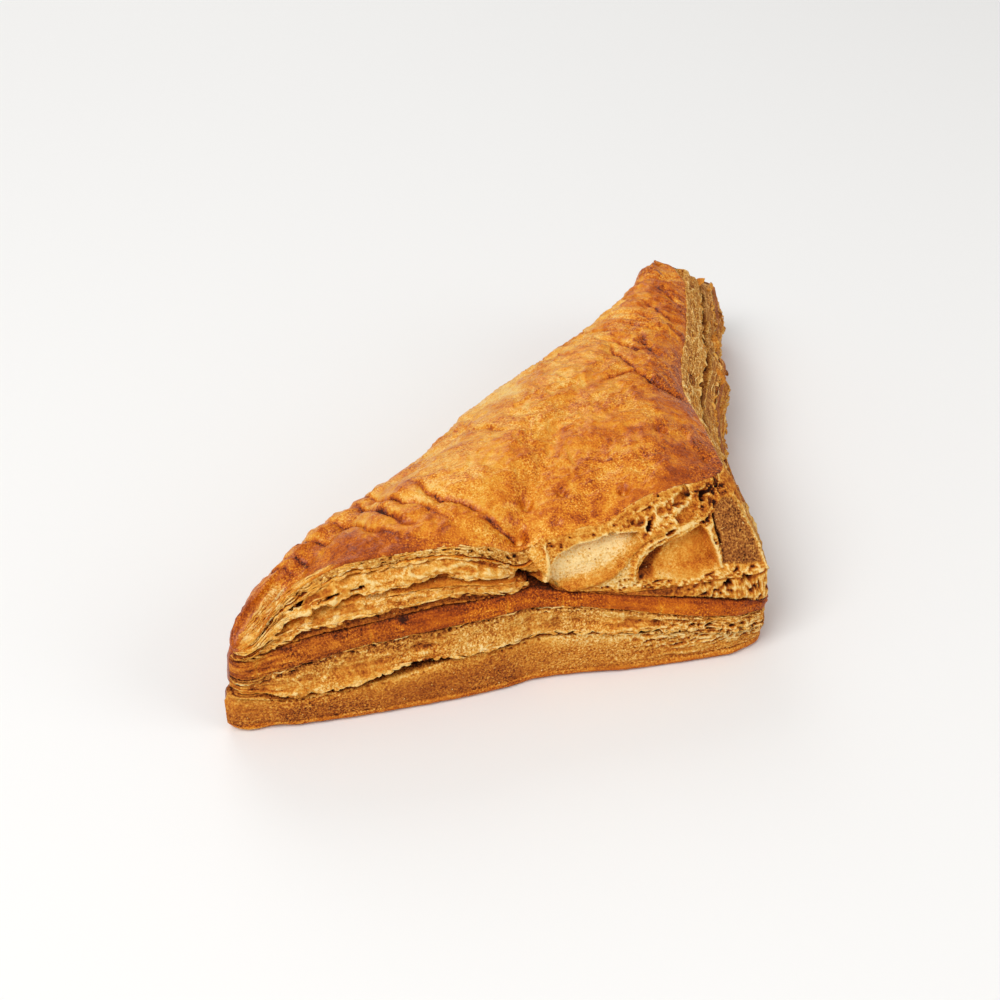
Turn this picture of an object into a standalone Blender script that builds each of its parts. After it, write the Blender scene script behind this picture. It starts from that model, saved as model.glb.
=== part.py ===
"""A triangular savoury puff: a square of layered pastry folded over a filling and baked.

Two cut sides show the stacked layers, the long third side is the rounded fold,
and the domed top is one glazed crust. The whole is a single closed solid that
rests on a flat base, with the origin at the bottom centre of its bounding box.
"""
import bpy
import numpy as np
from math import acos
from math import pi
from math import tan
from mathutils import Vector
from mathutils import noise

for leftover in list(bpy.data.objects):
    bpy.data.objects.remove(leftover, do_unlink=True)

MM = 0.001

# Plan of the lowest pastry layer: left tip, blunt front corner, far tip.
LEFT_TIP = (-77.0 * MM, -62.3 * MM)
FRONT_CORNER = (41.5 * MM, -62.3 * MM)
FAR_TIP = (72.5 * MM, 69.9 * MM)
CORNER_RADII = (4.5 * MM, 6.0 * MM, 3.0 * MM)
COLUMNS_PER_SIDE = 60

# Rows of the side walls, from the crust edge down to the base.
ROWS = ("lip", "margin", "flap", "crevice", "ribbon", "ledge", "seam", "band",
        "cleft", "gap", "heel", "belly", "foot", "rim", "sole")
RIM_HEIGHT = 0.8 * MM

# Front cut side: stations as shares of its length, heights and insets in millimetres.
FRONT_STATIONS = (0, 0.06, 0.12, 0.25, 0.40, 0.50, 0.56, 0.62, 0.72, 0.85, 1.0)
FRONT_OUTER_INSET = (1.3, 1.3, 0.5, 0.2, 0.7, 1.6, 2.8, 2.6, 1.4, 0.9, 1.0)
FRONT_LIP_INSET = (1.2, 3.2, 5.0, 7.0, 7.3, 7.5, 8.0, 8.0, 9.0, 12.0, 15.8)
FRONT_HEIGHTS = {
    "lip": (18.5, 23.0, 29.0, 33.1, 33.4, 32.1, 29.4, 31.2, 31.9, 35.0, 33.5),
    "margin": (18.2, 21.5, 26.8, 31.0, 31.4, 29.0, 26.0, 28.6, 29.0, 31.0, 30.5),
    "flap": (17.9, 20.0, 24.0, 27.4, 27.7, 25.8, 23.6, 24.4, 25.0, 27.5, 26.6),
    "crevice": (17.7, 19.6, 23.3, 26.7, 27.0, 25.1, 23.0, 22.4, 22.4, 25.0, 24.6),
    "ribbon": (17.5, 19.2, 22.4, 25.6, 26.0, 24.2, 22.8, 21.4, 20.4, 22.8, 22.6),
    "ledge": (17.2, 18.6, 20.8, 22.9, 23.8, 23.3, 22.5, 20.9, 19.2, 19.4, 19.4),
    "seam": (16.6, 17.8, 19.8, 21.4, 22.4, 22.3, 21.7, 20.3, 18.4, 15.8, 12.3),
    "band": (12.4, 13.0, 14.6, 17.0, 18.0, 18.1, 17.7, 17.1, 15.2, 12.0, 9.2),
    "cleft": (10.4, 9.6, 8.5, 9.7, 11.6, 12.0, 11.9, 11.6, 11.0, 9.3, 6.6),
    "gap": (10.0, 9.1, 7.9, 9.0, 11.1, 11.6, 11.6, 11.2, 10.6, 8.8, 6.3),
    "heel": (9.6, 8.6, 7.4, 8.3, 10.6, 11.2, 11.2, 10.8, 10.2, 8.3, 5.9),
    "belly": (6.0, 5.2, 4.6, 5.0, 6.0, 6.4, 6.4, 6.2, 6.0, 5.2, 4.2),
    "foot": (2.2, 2.0, 1.8, 1.8, 2.0, 2.0, 2.0, 2.0, 2.0, 2.0, 2.2),
}
# How much deeper than the leaning wall the open layers and pockets reach.
FRONT_DEPTHS = {
    "flap": (0, 0, 0, 0, 0, 0.4, 2.2, 2.2, 2.4, 1.6, 0),
    "crevice": (0.2, 1.6, 2.6, 2.8, 2.6, 3.2, 3.6, 2.4, 2.2, 2.4, 0.3),
    "ribbon": (0, 0, 0, 0, 0, 0, 0.4, 1.0, 1.6, 1.8, 0),
    "ledge": (0, 0, 0, 0, 0, 0, 0, 0, 0, -0.4, -1.4),
    "gap": (0.6, 1.8, 2.6, 3.0, 2.6, 2.2, 1.8, 1.6, 1.4, 1.0, 0.6),
}

# Right cut side, from the front corner to the far tip.
RIGHT_STATIONS = (0, 0.12, 0.24, 0.36, 0.48, 0.62, 0.76, 0.88, 1.0)
RIGHT_OUTER_STATIONS = (0, 0.11, 0.20, 0.30, 0.38, 0.48, 0.54, 0.59, 0.645, 0.68, 0.74, 0.85, 1.0)
RIGHT_OUTER_INSET = (2.8, 3.6, 4.4, 6.4, 7.1, 6.4, 4.8, 3.0, 2.0, 3.4, 2.6, 1.2, 0.6)
RIGHT_LIP_INSET = (12.9, 14.4, 16.2, 18.2, 17.6, 15.4, 14.0, 13.2, 12.0)
RIGHT_HEIGHTS = {
    "lip": (33.5, 33.0, 32.5, 32.0, 31.5, 31.2, 31.0, 31.2, 31.4),
    "margin": (30.5, 30.6, 30.2, 29.6, 29.2, 29.0, 29.0, 29.0, 29.0),
    "flap": (26.6, 27.6, 27.0, 26.2, 26.0, 26.0, 26.0, 26.0, 25.6),
    "crevice": (24.6, 25.6, 25.8, 25.4, 25.2, 25.2, 25.2, 25.2, 24.6),
    "ribbon": (22.6, 23.6, 24.4, 24.2, 24.0, 24.0, 24.0, 24.0, 23.4),
    "ledge": (19.4, 19.6, 20.6, 21.6, 22.0, 22.0, 22.0, 22.0, 21.4),
    "seam": (12.3, 14.0, 17.0, 19.4, 20.4, 20.6, 20.6, 20.4, 19.4),
    "band": (9.2, 10.4, 12.8, 15.0, 16.0, 16.4, 16.2, 15.8, 15.0),
    "cleft": (6.6, 7.2, 8.6, 10.0, 10.8, 11.0, 11.0, 10.8, 10.8),
    "gap": (6.3, 6.8, 8.1, 9.5, 10.3, 10.5, 10.5, 10.3, 10.2),
    "heel": (5.9, 6.4, 7.6, 9.0, 9.8, 10.0, 10.0, 9.8, 9.6),
    "belly": (4.2, 4.4, 4.9, 5.6, 6.0, 6.1, 6.1, 6.0, 6.0),
    "foot": (2.2, 2.0, 2.0, 2.0, 2.0, 2.0, 2.0, 2.0, 2.2),
}
RIGHT_DEPTHS = {
    "ledge": (-1.4, -0.6, 0, 0, 0, 0, 0, 0, 0),
    "crevice": (0.3, 1.6, 2.6, 3.0, 3.0, 3.0, 2.8, 2.0, 1.0),
    "gap": (0.6, 1.4, 1.8, 1.8, 1.8, 1.8, 1.8, 1.4, 0.6),
}

# Lean of the cut walls: share of the way in from the outer line to the crust edge,
# against the share of the height. The lower layers stand nearly upright.
LEAN_HEIGHTS = (0, 0.12, 0.30, 0.50, 0.65, 0.80, 0.95, 1.0)
LEAN_SHARES = (0.06, 0, 0, 0.12, 0.28, 0.58, 0.90, 1.0)
SOLE_TUCK = 0.9 * MM

# Rounded fold, from the far tip back to the left tip: height and inset of each row.
FOLD_ROUND = {
    "lip": (30.6, 5.0), "margin": (29.2, 2.9), "flap": (27.4, 1.5), "crevice": (25.2, 0.7),
    "ribbon": (22.8, 0.2), "ledge": (20.4, 0.0), "seam": (17.8, 0.0), "band": (15.0, 0.1),
    "cleft": (12.0, 0.4), "gap": (9.5, 0.8), "heel": (7.0, 1.4), "belly": (4.6, 2.2),
    "foot": (2.6, 3.2), "rim": (1.0, 4.4), "sole": (0.0, 6.2),
}
FOLD_STATIONS = (0, 0.05, 0.14, 0.30, 0.48, 0.64, 0.82, 0.92, 0.97, 1.0)
FOLD_SHIFTS = (0, -2.0, 0.4, 0.6, -1.5, 0.2, -0.7, 0.3, 0.5, 0)
FOLD_TOPS = (30.6, 33.0, 31.4, 30.8, 31.0, 30.4, 30.6, 28.6, 23.0, 18.5)
FAR_TIP_FOLD_INSET = {
    "lip": 3.4, "margin": 4.2, "flap": 5.2, "crevice": 5.6, "ribbon": 5.0, "ledge": 4.2,
    "seam": 2.6, "band": 1.0, "cleft": 1.0, "gap": 1.4, "heel": 1.2, "belly": 1.2,
    "foot": 1.6, "rim": 2.2, "sole": 3.4,
}
LEFT_TIP_FOLD_INSET = {
    "lip": 1.4, "margin": 1.3, "flap": 1.2, "crevice": 1.2, "ribbon": 1.0, "ledge": 0.8,
    "seam": 0.6, "band": 0.4, "cleft": 0.2, "gap": 0.4, "heel": -0.2, "belly": -0.4,
    "foot": -0.2, "rim": 0.2, "sole": 1.2,
}

# Dome of the crust: rise above its edges, and how fast it rises from each side.
DOME_RISE = 11.0 * MM
DOME_REACH_FRONT = 14.0 * MM
DOME_REACH_RIGHT = 12.0 * MM
DOME_REACH_FOLD = 15.0 * MM

# Creases pressed into the crust: start, end, depth and half width in millimetres.
CREASES = (
    (-48.0, -43.0, -43.0, -50.0, 0.9, 1.4),
    (-40.5, -43.0, -35.0, -50.5, 1.0, 1.4),
    (-36.5, -37.0, -30.5, -50.0, 1.4, 1.5),
    (-31.0, -42.5, -23.5, -50.5, 1.4, 1.5),
    (-24.5, -42.5, -16.5, -50.5, 1.4, 1.5),
    (-18.0, -49.5, -10.5, -53.0, 1.2, 1.5),
    (-19.5, -33.5, -15.5, -37.5, 0.6, 1.2),
    (-13.0, -15.0, -9.5, -24.0, 0.7, 1.4),
    (6.0, -14.0, 12.0, -11.5, 0.5, 1.2),
    (20.0, 9.0, 24.5, -3.0, 0.9, 1.5),
    (24.5, -3.0, 27.0, -13.0, 1.1, 1.5),
    (27.0, 5.0, 28.5, -9.0, 1.0, 1.4),
    (34.0, 14.0, 31.5, -2.0, 1.0, 1.5),
    (37.0, 26.0, 41.5, 14.0, 0.9, 1.4),
    (35.0, 21.0, 30.0, 16.0, 0.7, 1.4),
    (42.0, 33.0, 46.0, 22.0, 0.8, 1.4),
    (40.0, 38.0, 48.0, 33.0, 0.7, 1.3),
)
# Dimples: centre, depth and radius in millimetres.
DIMPLES = (
    (22.0, -33.0, 1.6, 1.9),
    (10.0, -49.0, 1.2, 1.8),
    (-5.0, -47.0, 0.8, 2.0),
    (-11.0, -52.5, 2.0, 2.6),
    (27.5, -13.5, 1.4, 1.9),
    (32.0, -1.0, 1.0, 2.2),
    (17.0, -40.5, 0.5, 2.0),
    (-4.0, -33.0, 0.5, 3.0),
    (30.0, -40.0, 0.6, 2.4),
)
BLISTER_HEIGHT = 0.30 * MM
BLISTER_SPACING = 7.0 * MM
LAYER_RAGGEDNESS = 0.35 * MM
LAYER_RAG_SPACING = 5.0 * MM

CRUST_COLOR = (0.55, 0.23, 0.06, 1.0)


def through(stations, values, t):
    """A smooth curve through the values that never overshoots between stations."""
    x = np.asarray(stations, float)
    y = np.asarray(values, float)
    width = np.diff(x)
    rate = np.diff(y) / width
    slope = np.zeros_like(y)
    slope[0] = rate[0]
    slope[-1] = rate[-1]
    for i in range(1, len(x) - 1):
        if rate[i - 1] * rate[i] > 0:
            before = 2 * width[i] + width[i - 1]
            after = width[i] + 2 * width[i - 1]
            slope[i] = (before + after) / (before / rate[i - 1] + after / rate[i])
    i = np.clip(np.searchsorted(x, t) - 1, 0, len(x) - 2)
    f = np.clip((t - x[i]) / width[i], 0, 1)
    start = (1 + 2 * f) * (1 - f) ** 2 * y[i] + f * (1 - f) ** 2 * width[i] * slope[i]
    end = f * f * (3 - 2 * f) * y[i + 1] + f * f * (f - 1) * width[i] * slope[i + 1]
    return start + end


def cut_wall(side, row, t):
    """Height and inset of a row along the front (0) or right (1) cut side, in millimetres."""
    stations = (FRONT_STATIONS, RIGHT_STATIONS)[side]
    heights = (FRONT_HEIGHTS, RIGHT_HEIGHTS)[side]
    depths = (FRONT_DEPTHS, RIGHT_DEPTHS)[side]
    outer_stations = (FRONT_STATIONS, RIGHT_OUTER_STATIONS)[side]
    outer = through(outer_stations, (FRONT_OUTER_INSET, RIGHT_OUTER_INSET)[side], t)
    edge = through(stations, (FRONT_LIP_INSET, RIGHT_LIP_INSET)[side], t)
    if row == "sole":
        return np.zeros_like(t), outer + SOLE_TUCK / MM
    if row == "rim":
        return np.full_like(t, RIM_HEIGHT / MM), outer + 0.1
    height = through(stations, heights[row], t)
    share = height / through(stations, heights["lip"], t)
    inset = outer + (edge - outer) * through(LEAN_HEIGHTS, LEAN_SHARES, share)
    if row in depths:
        inset = inset + through(stations, depths[row], t)
    return height, inset


def fold_wall(row, t):
    """Height and inset of a row along the rounded fold, in millimetres."""
    height, inset = FOLD_ROUND[row]
    far_height = cut_wall(1, row, np.array([1.0]))[0][0]
    near_height = cut_wall(0, row, np.array([0.0]))[0][0]
    share = height / FOLD_ROUND["lip"][0]
    heights = [share * top for top in FOLD_TOPS]
    heights[0] = far_height
    heights[-1] = near_height
    insets = [inset + shift for shift in FOLD_SHIFTS]
    insets[0] = FAR_TIP_FOLD_INSET[row]
    insets[-1] = LEFT_TIP_FOLD_INSET[row]
    insets[-2] = 0.5 * (inset + insets[-1]) + FOLD_SHIFTS[-2]
    return through(FOLD_STATIONS, heights, t), through(FOLD_STATIONS, insets, t)


def wall(side, row, t):
    """Height and inset of a row along any side."""
    if side == 2:
        return fold_wall(row, t)
    return cut_wall(side, row, t)


CORNERS = np.array([LEFT_TIP, FRONT_CORNER, FAR_TIP]) / MM
RADII = [radius / MM for radius in CORNER_RADII]
ALONG = []
INWARD = []
for first, second in ((0, 1), (1, 2), (2, 0)):
    step = CORNERS[second] - CORNERS[first]
    step = step / np.linalg.norm(step)
    ALONG.append(step)
    INWARD.append(np.array([-step[1], step[0]]))


def sharp_corner(index, row):
    """Where the two straight lines of a row would meet at a corner."""
    before = wall((index - 1) % 3, row, np.array([1.0]))[1][0]
    after = wall(index, row, np.array([0.0]))[1][0]
    shift = np.linalg.solve(np.array([INWARD[index - 1], INWARD[index]]), np.array([before, after]))
    return CORNERS[index] + shift


def half_angle(index):
    """Half of the angle between the two sides at a corner."""
    return (pi - acos(float(ALONG[index - 1] @ ALONG[index]))) / 2


def course(side, row, t):
    """Points of a row along a side, from mid corner to mid corner, in millimetres."""
    along = ALONG[side]
    inward = INWARD[side]
    next_corner = (side + 1) % 3
    start_half = half_angle(side)
    end_half = half_angle(next_corner)
    start_radius = RADII[side]
    end_radius = RADII[next_corner]
    start_turn = pi / 2 - start_half
    end_turn = pi / 2 - end_half
    start = sharp_corner(side, row) + along * start_radius / tan(start_half)
    end = sharp_corner(next_corner, row) - along * end_radius / tan(end_half)
    straight = np.linalg.norm(end - start)
    start_arc = start_radius * start_turn
    end_arc = end_radius * end_turn
    travelled = t * (start_arc + straight + end_arc)
    height, inset = wall(side, row, t)
    share = np.clip((travelled - start_arc) / straight, 0, 1)
    points = start + np.outer(share, end - start)
    early = travelled < start_arc
    angle = start_turn - travelled / start_radius
    arc = start + inward * start_radius
    arc = arc - np.outer(start_radius * np.sin(angle), along)
    arc = arc - np.outer(start_radius * np.cos(angle), inward)
    points[early] = arc[early]
    late = travelled > start_arc + straight
    angle = (travelled - start_arc - straight) / end_radius
    arc = end + inward * end_radius
    arc = arc + np.outer(end_radius * np.sin(angle), along)
    arc = arc - np.outer(end_radius * np.cos(angle), inward)
    points[late] = arc[late]
    ends = wall(side, row, np.array([0.0, 1.0]))[1]
    bend = inset - (ends[0] + (ends[1] - ends[0]) * share)
    fade = np.clip(travelled / (start_arc + 2), 0, 1)
    fade = fade * np.clip((start_arc + straight + end_arc - travelled) / (end_arc + 2), 0, 1)
    points = points + np.outer(bend * fade, inward)
    return np.column_stack([points, height])


def ragged(points, side, row):
    """The torn, uneven run of the thin layers along a cut side."""
    calm = ("rim", "sole", "belly")
    if side == 2 or row in calm:
        return points
    out = points.copy()
    seed = 17.0 * ROWS.index(row) + 90.0 * side
    size = LAYER_RAGGEDNESS / MM
    spacing = LAYER_RAG_SPACING / MM
    count = len(points)
    for i, point in enumerate(points):
        fade = min(1.0, 8.0 * i / count, 8.0 * (count - i) / count)
        spot = Vector((point[0] / spacing, point[1] / spacing, seed))
        out[i, :2] += INWARD[side] * size * fade * noise.noise(spot)
        out[i, 2] += 0.5 * size * fade * noise.noise(spot + Vector((0.0, 0.0, 5.0)))
    return out


def crust_points(count):
    """The glazed top as a triangular grid bounded by the three crust edges."""
    t = np.linspace(0, 1, count + 1)
    edges = [ragged(course(side, "lip", t), side, "lip") for side in range(3)]
    left, front, far = edges[0][0], edges[1][0], edges[2][0]
    for side, last in ((0, front), (1, far), (2, left)):
        edges[side][-1] = last
    shares = []
    for i in range(count + 1):
        for j in range(i + 1):
            shares.append(((i - j) / count, 1 - i / count, j / count))
    a, b, c = np.array(shares).T
    points = np.outer(a, left) + np.outer(b, front) + np.outer(c, far)
    weights = np.array([a * b, b * c, c * a]) + 1e-12
    weights = weights / weights.sum(0)
    runs = ((edges[0], a, b), (edges[1], b, c), (edges[2], c, a))
    for weight, (edge, near, away) in zip(weights, runs):
        total = near + away
        run = away / np.where(total > 0, total, 1)
        weight = weight * (total > 0)
        chord = np.outer(1 - run, edge[0]) + np.outer(run, edge[-1])
        bent = np.column_stack([np.interp(run, t, edge[:, axis]) for axis in range(3)])
        points += weight[:, None] * (bent - chord)
    return points, (a, b, c), (left, front, far)


def dome(points, shares, corners):
    """The puffed rise of the crust above its edges."""
    left, front, far = (corner[:2] for corner in corners)
    span = front - left
    reach = far - left
    area = abs(span[0] * reach[1] - span[1] * reach[0])
    sides = (np.linalg.norm(far - front), np.linalg.norm(far - left), np.linalg.norm(front - left))
    reaches = (DOME_REACH_RIGHT, DOME_REACH_FOLD, DOME_REACH_FRONT)
    rise = np.full(len(points), DOME_RISE / MM)
    for share, side, scale in zip(shares, sides, reaches):
        rise *= 1 - np.exp(-share * area / side / (scale / MM))
    points[:, 2] += rise


def crust_relief(points, shares):
    """Creases, dimples and low blisters pressed into the crust, fading at its edges."""
    fade = np.clip(np.min(np.array(shares), axis=0) * COLUMNS_PER_SIDE / 2, 0, 1)
    sink = np.zeros(len(points))
    for x0, y0, x1, y1, depth, width in CREASES:
        step = np.array([x1 - x0, y1 - y0])
        offset = points[:, :2] - (x0, y0)
        along = np.clip(offset @ step / (step @ step), 0, 1)
        near = np.linalg.norm(offset - np.outer(along, step), axis=1)
        taper = 0.35 + 0.65 * np.sin(pi * along)
        sink = np.maximum(sink, depth * taper * np.exp(-(near / width) ** 2))
    for x, y, depth, radius in DIMPLES:
        near = np.hypot(points[:, 0] - x, points[:, 1] - y)
        sink = np.maximum(sink, depth * np.exp(-(near / radius) ** 2))
    spacing = BLISTER_SPACING / MM
    blister = np.array([noise.noise(Vector((x / spacing, y / spacing, 3.7))) for x, y, _ in points])
    points[:, 2] += fade * (blister * 2 * BLISTER_HEIGHT / MM - sink)


def puff_geometry():
    """Vertices and triangles of the whole puff, in millimetres."""
    count = COLUMNS_PER_SIDE
    t = np.linspace(0, 1, count + 1)
    top, shares, corners = crust_points(count)
    dome(top, shares, corners)
    crust_relief(top, shares)
    rings = []
    for row in ROWS[1:]:
        rings.append(np.vstack([ragged(course(side, row, t), side, row)[:-1] for side in range(3)]))
    number = {}
    for i in range(count + 1):
        for j in range(i + 1):
            number[i, j] = len(number)
    faces = []
    for i in range(count):
        for j in range(i + 1):
            faces.append((number[i, j], number[i + 1, j + 1], number[i + 1, j]))
            if j < i:
                faces.append((number[i, j], number[i, j + 1], number[i + 1, j + 1]))
    around = 3 * count
    upper = [number[count - k, 0] for k in range(count)]
    upper += [number[k, k] for k in range(count)]
    upper += [number[count, count - k] for k in range(count)]
    for level in range(len(rings)):
        lower = [len(top) + level * around + k for k in range(around)]
        for k in range(around):
            after = (k + 1) % around
            faces.append((upper[k], lower[k], lower[after]))
            faces.append((upper[k], lower[after], upper[after]))
        upper = lower
    centre = np.append(rings[-1][:, :2].mean(0), 0.0)
    points = np.vstack([top] + rings + [centre])
    for k in range(around):
        faces.append((len(points) - 1, upper[(k + 1) % around], upper[k]))
    return points, faces


def crust_material():
    """Baked pastry: one brown, slightly shiny material."""
    material = bpy.data.materials.new("baked_pastry")
    material.use_nodes = True
    shader = material.node_tree.nodes["Principled BSDF"]
    shader.inputs["Base Color"].default_value = CRUST_COLOR
    shader.inputs["Roughness"].default_value = 0.5
    return material


def build_puff():
    """The puff as one closed object resting on the ground at the origin."""
    points, faces = puff_geometry()
    low = points.min(axis=0)
    high = points.max(axis=0)
    points[:, :2] -= (low[:2] + high[:2]) / 2
    mesh = bpy.data.meshes.new("puff")
    mesh.from_pydata([tuple(point) for point in points * MM], [], faces)
    mesh.validate()
    mesh.shade_smooth()
    mesh.set_sharp_from_angle(angle=0.9)
    puff = bpy.data.objects.new("puff", mesh)
    puff.data.materials.append(crust_material())
    bpy.context.collection.objects.link(puff)
    return puff


build_puff()
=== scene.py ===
# %% [markdown]
# # A chicken puff, layer by layer
# A puff is a square of laminated dough folded corner to corner over a filling and baked.
# Two sides are cut, so their thin layers open like the pages of a book. The third is the
# fold, which stays closed under the egg glaze. This lesson rebuilds those three things as
# separate closed meshes around the plain CAD solid: the glazed crust, the open upper
# layers and the denser lower ply. Loose flakes and crumbs come last.

from itertools import product
from math import acos, cos, pi, radians, sin, tan

import bpy
import numpy as np
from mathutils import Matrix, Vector


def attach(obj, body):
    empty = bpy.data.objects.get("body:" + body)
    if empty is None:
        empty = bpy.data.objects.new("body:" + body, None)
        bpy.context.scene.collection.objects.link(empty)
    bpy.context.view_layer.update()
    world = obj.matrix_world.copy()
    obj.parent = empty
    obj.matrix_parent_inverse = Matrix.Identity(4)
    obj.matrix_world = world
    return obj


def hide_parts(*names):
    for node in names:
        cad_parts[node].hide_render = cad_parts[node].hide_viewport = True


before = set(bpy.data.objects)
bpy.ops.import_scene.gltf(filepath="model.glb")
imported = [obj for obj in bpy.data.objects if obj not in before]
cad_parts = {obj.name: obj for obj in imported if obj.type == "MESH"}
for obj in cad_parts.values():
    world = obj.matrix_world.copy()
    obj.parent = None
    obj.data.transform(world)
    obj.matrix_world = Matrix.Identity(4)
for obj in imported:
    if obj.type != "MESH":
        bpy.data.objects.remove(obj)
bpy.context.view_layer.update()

# %% [markdown]
# ## Units and places
# All lengths below are in millimetres, as a baker would measure them, and are turned to
# metres only when a mesh is made. The CAD puts the middle of its bounding box at the
# origin, so the same small shift is taken off every point here.

# %% Units and centre
MM = 0.001
CENTRE_SHIFT = np.array([0.274, -0.165, 0.0])
BODY = "root"
NODE = "puff"


def place(point):
    """A point in the puff's own millimetres as a place in the scene, in metres."""
    return Vector((np.array(point) - CENTRE_SHIFT) * MM)


# %% [markdown]
# ## The camera
# The photograph looks down at 36 degrees, a little from the left of the long cut side.
# The distance decides how strongly the far tip shrinks; 330 mm gives the same narrowing.

# %% Camera
CAMERA_TURN = radians(-13.1)
CAMERA_TILT = radians(36.0)
CAMERA_DISTANCE = 330.0
CAMERA_TARGET = (-7.5, -22.0, 17.0)
CAMERA_LENS = 57.13
CAMERA_SENSOR = 36.0
CAMERA_NEAREST = 0.01


def make_camera():
    """The camera at the photograph's viewing angle."""
    data = bpy.data.cameras.new("view")
    data.lens = CAMERA_LENS
    data.sensor_width = CAMERA_SENSOR
    data.clip_start = CAMERA_NEAREST
    camera = bpy.data.objects.new("view", data)
    bpy.context.scene.collection.objects.link(camera)
    away = Vector((sin(CAMERA_TURN) * cos(CAMERA_TILT), -cos(CAMERA_TURN) * cos(CAMERA_TILT),
                   sin(CAMERA_TILT)))
    camera.location = place(CAMERA_TARGET) + away * CAMERA_DISTANCE * MM
    camera.rotation_euler = away.to_track_quat("Z", "Y").to_euler()
    bpy.context.scene.camera = camera
    return camera


camera = make_camera()
print("camera at", [round(value, 4) for value in camera.location])

# %% [markdown]
# ## Colour and node helpers
# Colours are read off as sRGB hex values. The shaders work in linear light, so one
# function turns them. Another adds a node with its settings and its links in one call,
# for materials here and for geometry nodes further down.


# %% Helpers for materials
def linear(hex_color):
    """An sRGB hex colour as linear red, green, blue and alpha."""
    parts = [int(hex_color[i:i + 2], 16) / 255 for i in (1, 3, 5)]
    return [p / 12.92 if p <= 0.04045 else ((p + 0.055) / 1.055) ** 2.4 for p in parts] + [1.0]


def add(tree, kind, inputs=None, **settings):
    """One new node; an input is a value, a socket, or a node whose first output is linked."""
    node = tree.nodes.new(kind)
    for name, value in settings.items():
        setattr(node, name, value)
    for name, value in (inputs or {}).items():
        if isinstance(value, bpy.types.Node):
            value = next(output for output in value.outputs if output.enabled)
        if isinstance(value, bpy.types.NodeSocket):
            tree.links.new(value, node.inputs[name])
        else:
            node.inputs[name].default_value = value
    return node


# %% [markdown]
# Arithmetic between nodes reads best as a recipe: a list of small steps, each giving a
# name to its result. One loop turns any such recipe into Math nodes.


# %% Recipes of Math nodes
def worked_out(tree, known, recipe):
    """The known values, with the result of each (result, operation, terms) step added."""
    for result, operation, *terms in recipe:
        values = {place: known.get(term, term) for place, term in enumerate(terms)}
        known[result] = add(tree, "ShaderNodeMath", values, operation=operation)
    return known


# %% [markdown]
# ## Floor and light
# A plain pale floor and soft light from all round, with one broad lamp above and to the
# left, as over a bakery table. The broad lamp gives the glaze its long soft highlights.

# %% Floor, sky and lamps
FLOOR_SIZE = 6.0
TABLE_COLOR = "#F1F0EE"
TABLE_ROUGHNESS = 0.9
LAMPS = (
    # name, place in metres, size in metres, power in watts
    ("window_lamp", (-0.55, -0.45, 0.85), 0.60, 7.2),
    ("side_lamp", (0.75, -0.55, 0.55), 0.60, 2.4),
    ("back_lamp", (-0.1, 0.9, 0.7), 0.60, 2.6),
)
SKY_STRENGTH = 0.45


def make_floor():
    """A wide pale floor under the puff."""
    half = FLOOR_SIZE / 2
    mesh = bpy.data.meshes.new("table_top")
    corners = [(-half, -half, 0), (half, -half, 0), (half, half, 0), (-half, half, 0)]
    mesh.from_pydata(corners, [], [(0, 1, 2, 3)])
    floor = bpy.data.objects.new("table_top", mesh)
    bpy.context.scene.collection.objects.link(floor)
    material = bpy.data.materials.new("pale_table")
    material.use_nodes = True
    shader = material.node_tree.nodes["Principled BSDF"]
    shader.inputs["Base Color"].default_value = linear(TABLE_COLOR)
    shader.inputs["Roughness"].default_value = TABLE_ROUGHNESS
    mesh.materials.append(material)
    return floor


def make_lamps():
    """Broad square lamps, each aimed at the puff."""
    for name, location, size, power in LAMPS:
        data = bpy.data.lights.new(name, "AREA")
        data.size = size
        data.energy = power
        lamp = bpy.data.objects.new(name, data)
        bpy.context.scene.collection.objects.link(lamp)
        lamp.location = location
        lamp.rotation_euler = Vector(location).to_track_quat("Z", "Y").to_euler()


def make_sky():
    """An even white sky that fills the shadows."""
    world = bpy.data.worlds.new("white_room")
    world.use_nodes = True
    background = world.node_tree.nodes["Background"]
    background.inputs["Color"].default_value = (1.0, 1.0, 1.0, 1.0)
    background.inputs["Strength"].default_value = SKY_STRENGTH
    bpy.context.scene.world = world


make_floor()
make_lamps()
make_sky()
bpy.context.scene.view_settings.view_transform = "Standard"
print("lamps:", [name for name, *_ in LAMPS])

# %% [markdown]
# ## The plan and the courses
# In plan the puff is a triangle with one nearly square corner. Its walls are a stack of
# courses: the crust edge, the cut margin, each open layer, the seam of the two plies, and
# so on down to the base. The CAD names a few courses and gives each a height and an inset
# at a few stations along the wall. The same numbers are used here, so that the fine
# surface lies exactly where the solid is.

# %% Plan and course tables
LEFT_TIP = (-77.0, -62.3)
FRONT_CORNER = (41.5, -62.3)
FAR_TIP = (72.5, 69.9)
CORNER_RADII = (4.5, 6.0, 3.0)
RIM_HEIGHT = 0.8
RIM_TUCK = 0.1
SOLE_TUCK = 0.9

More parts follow.
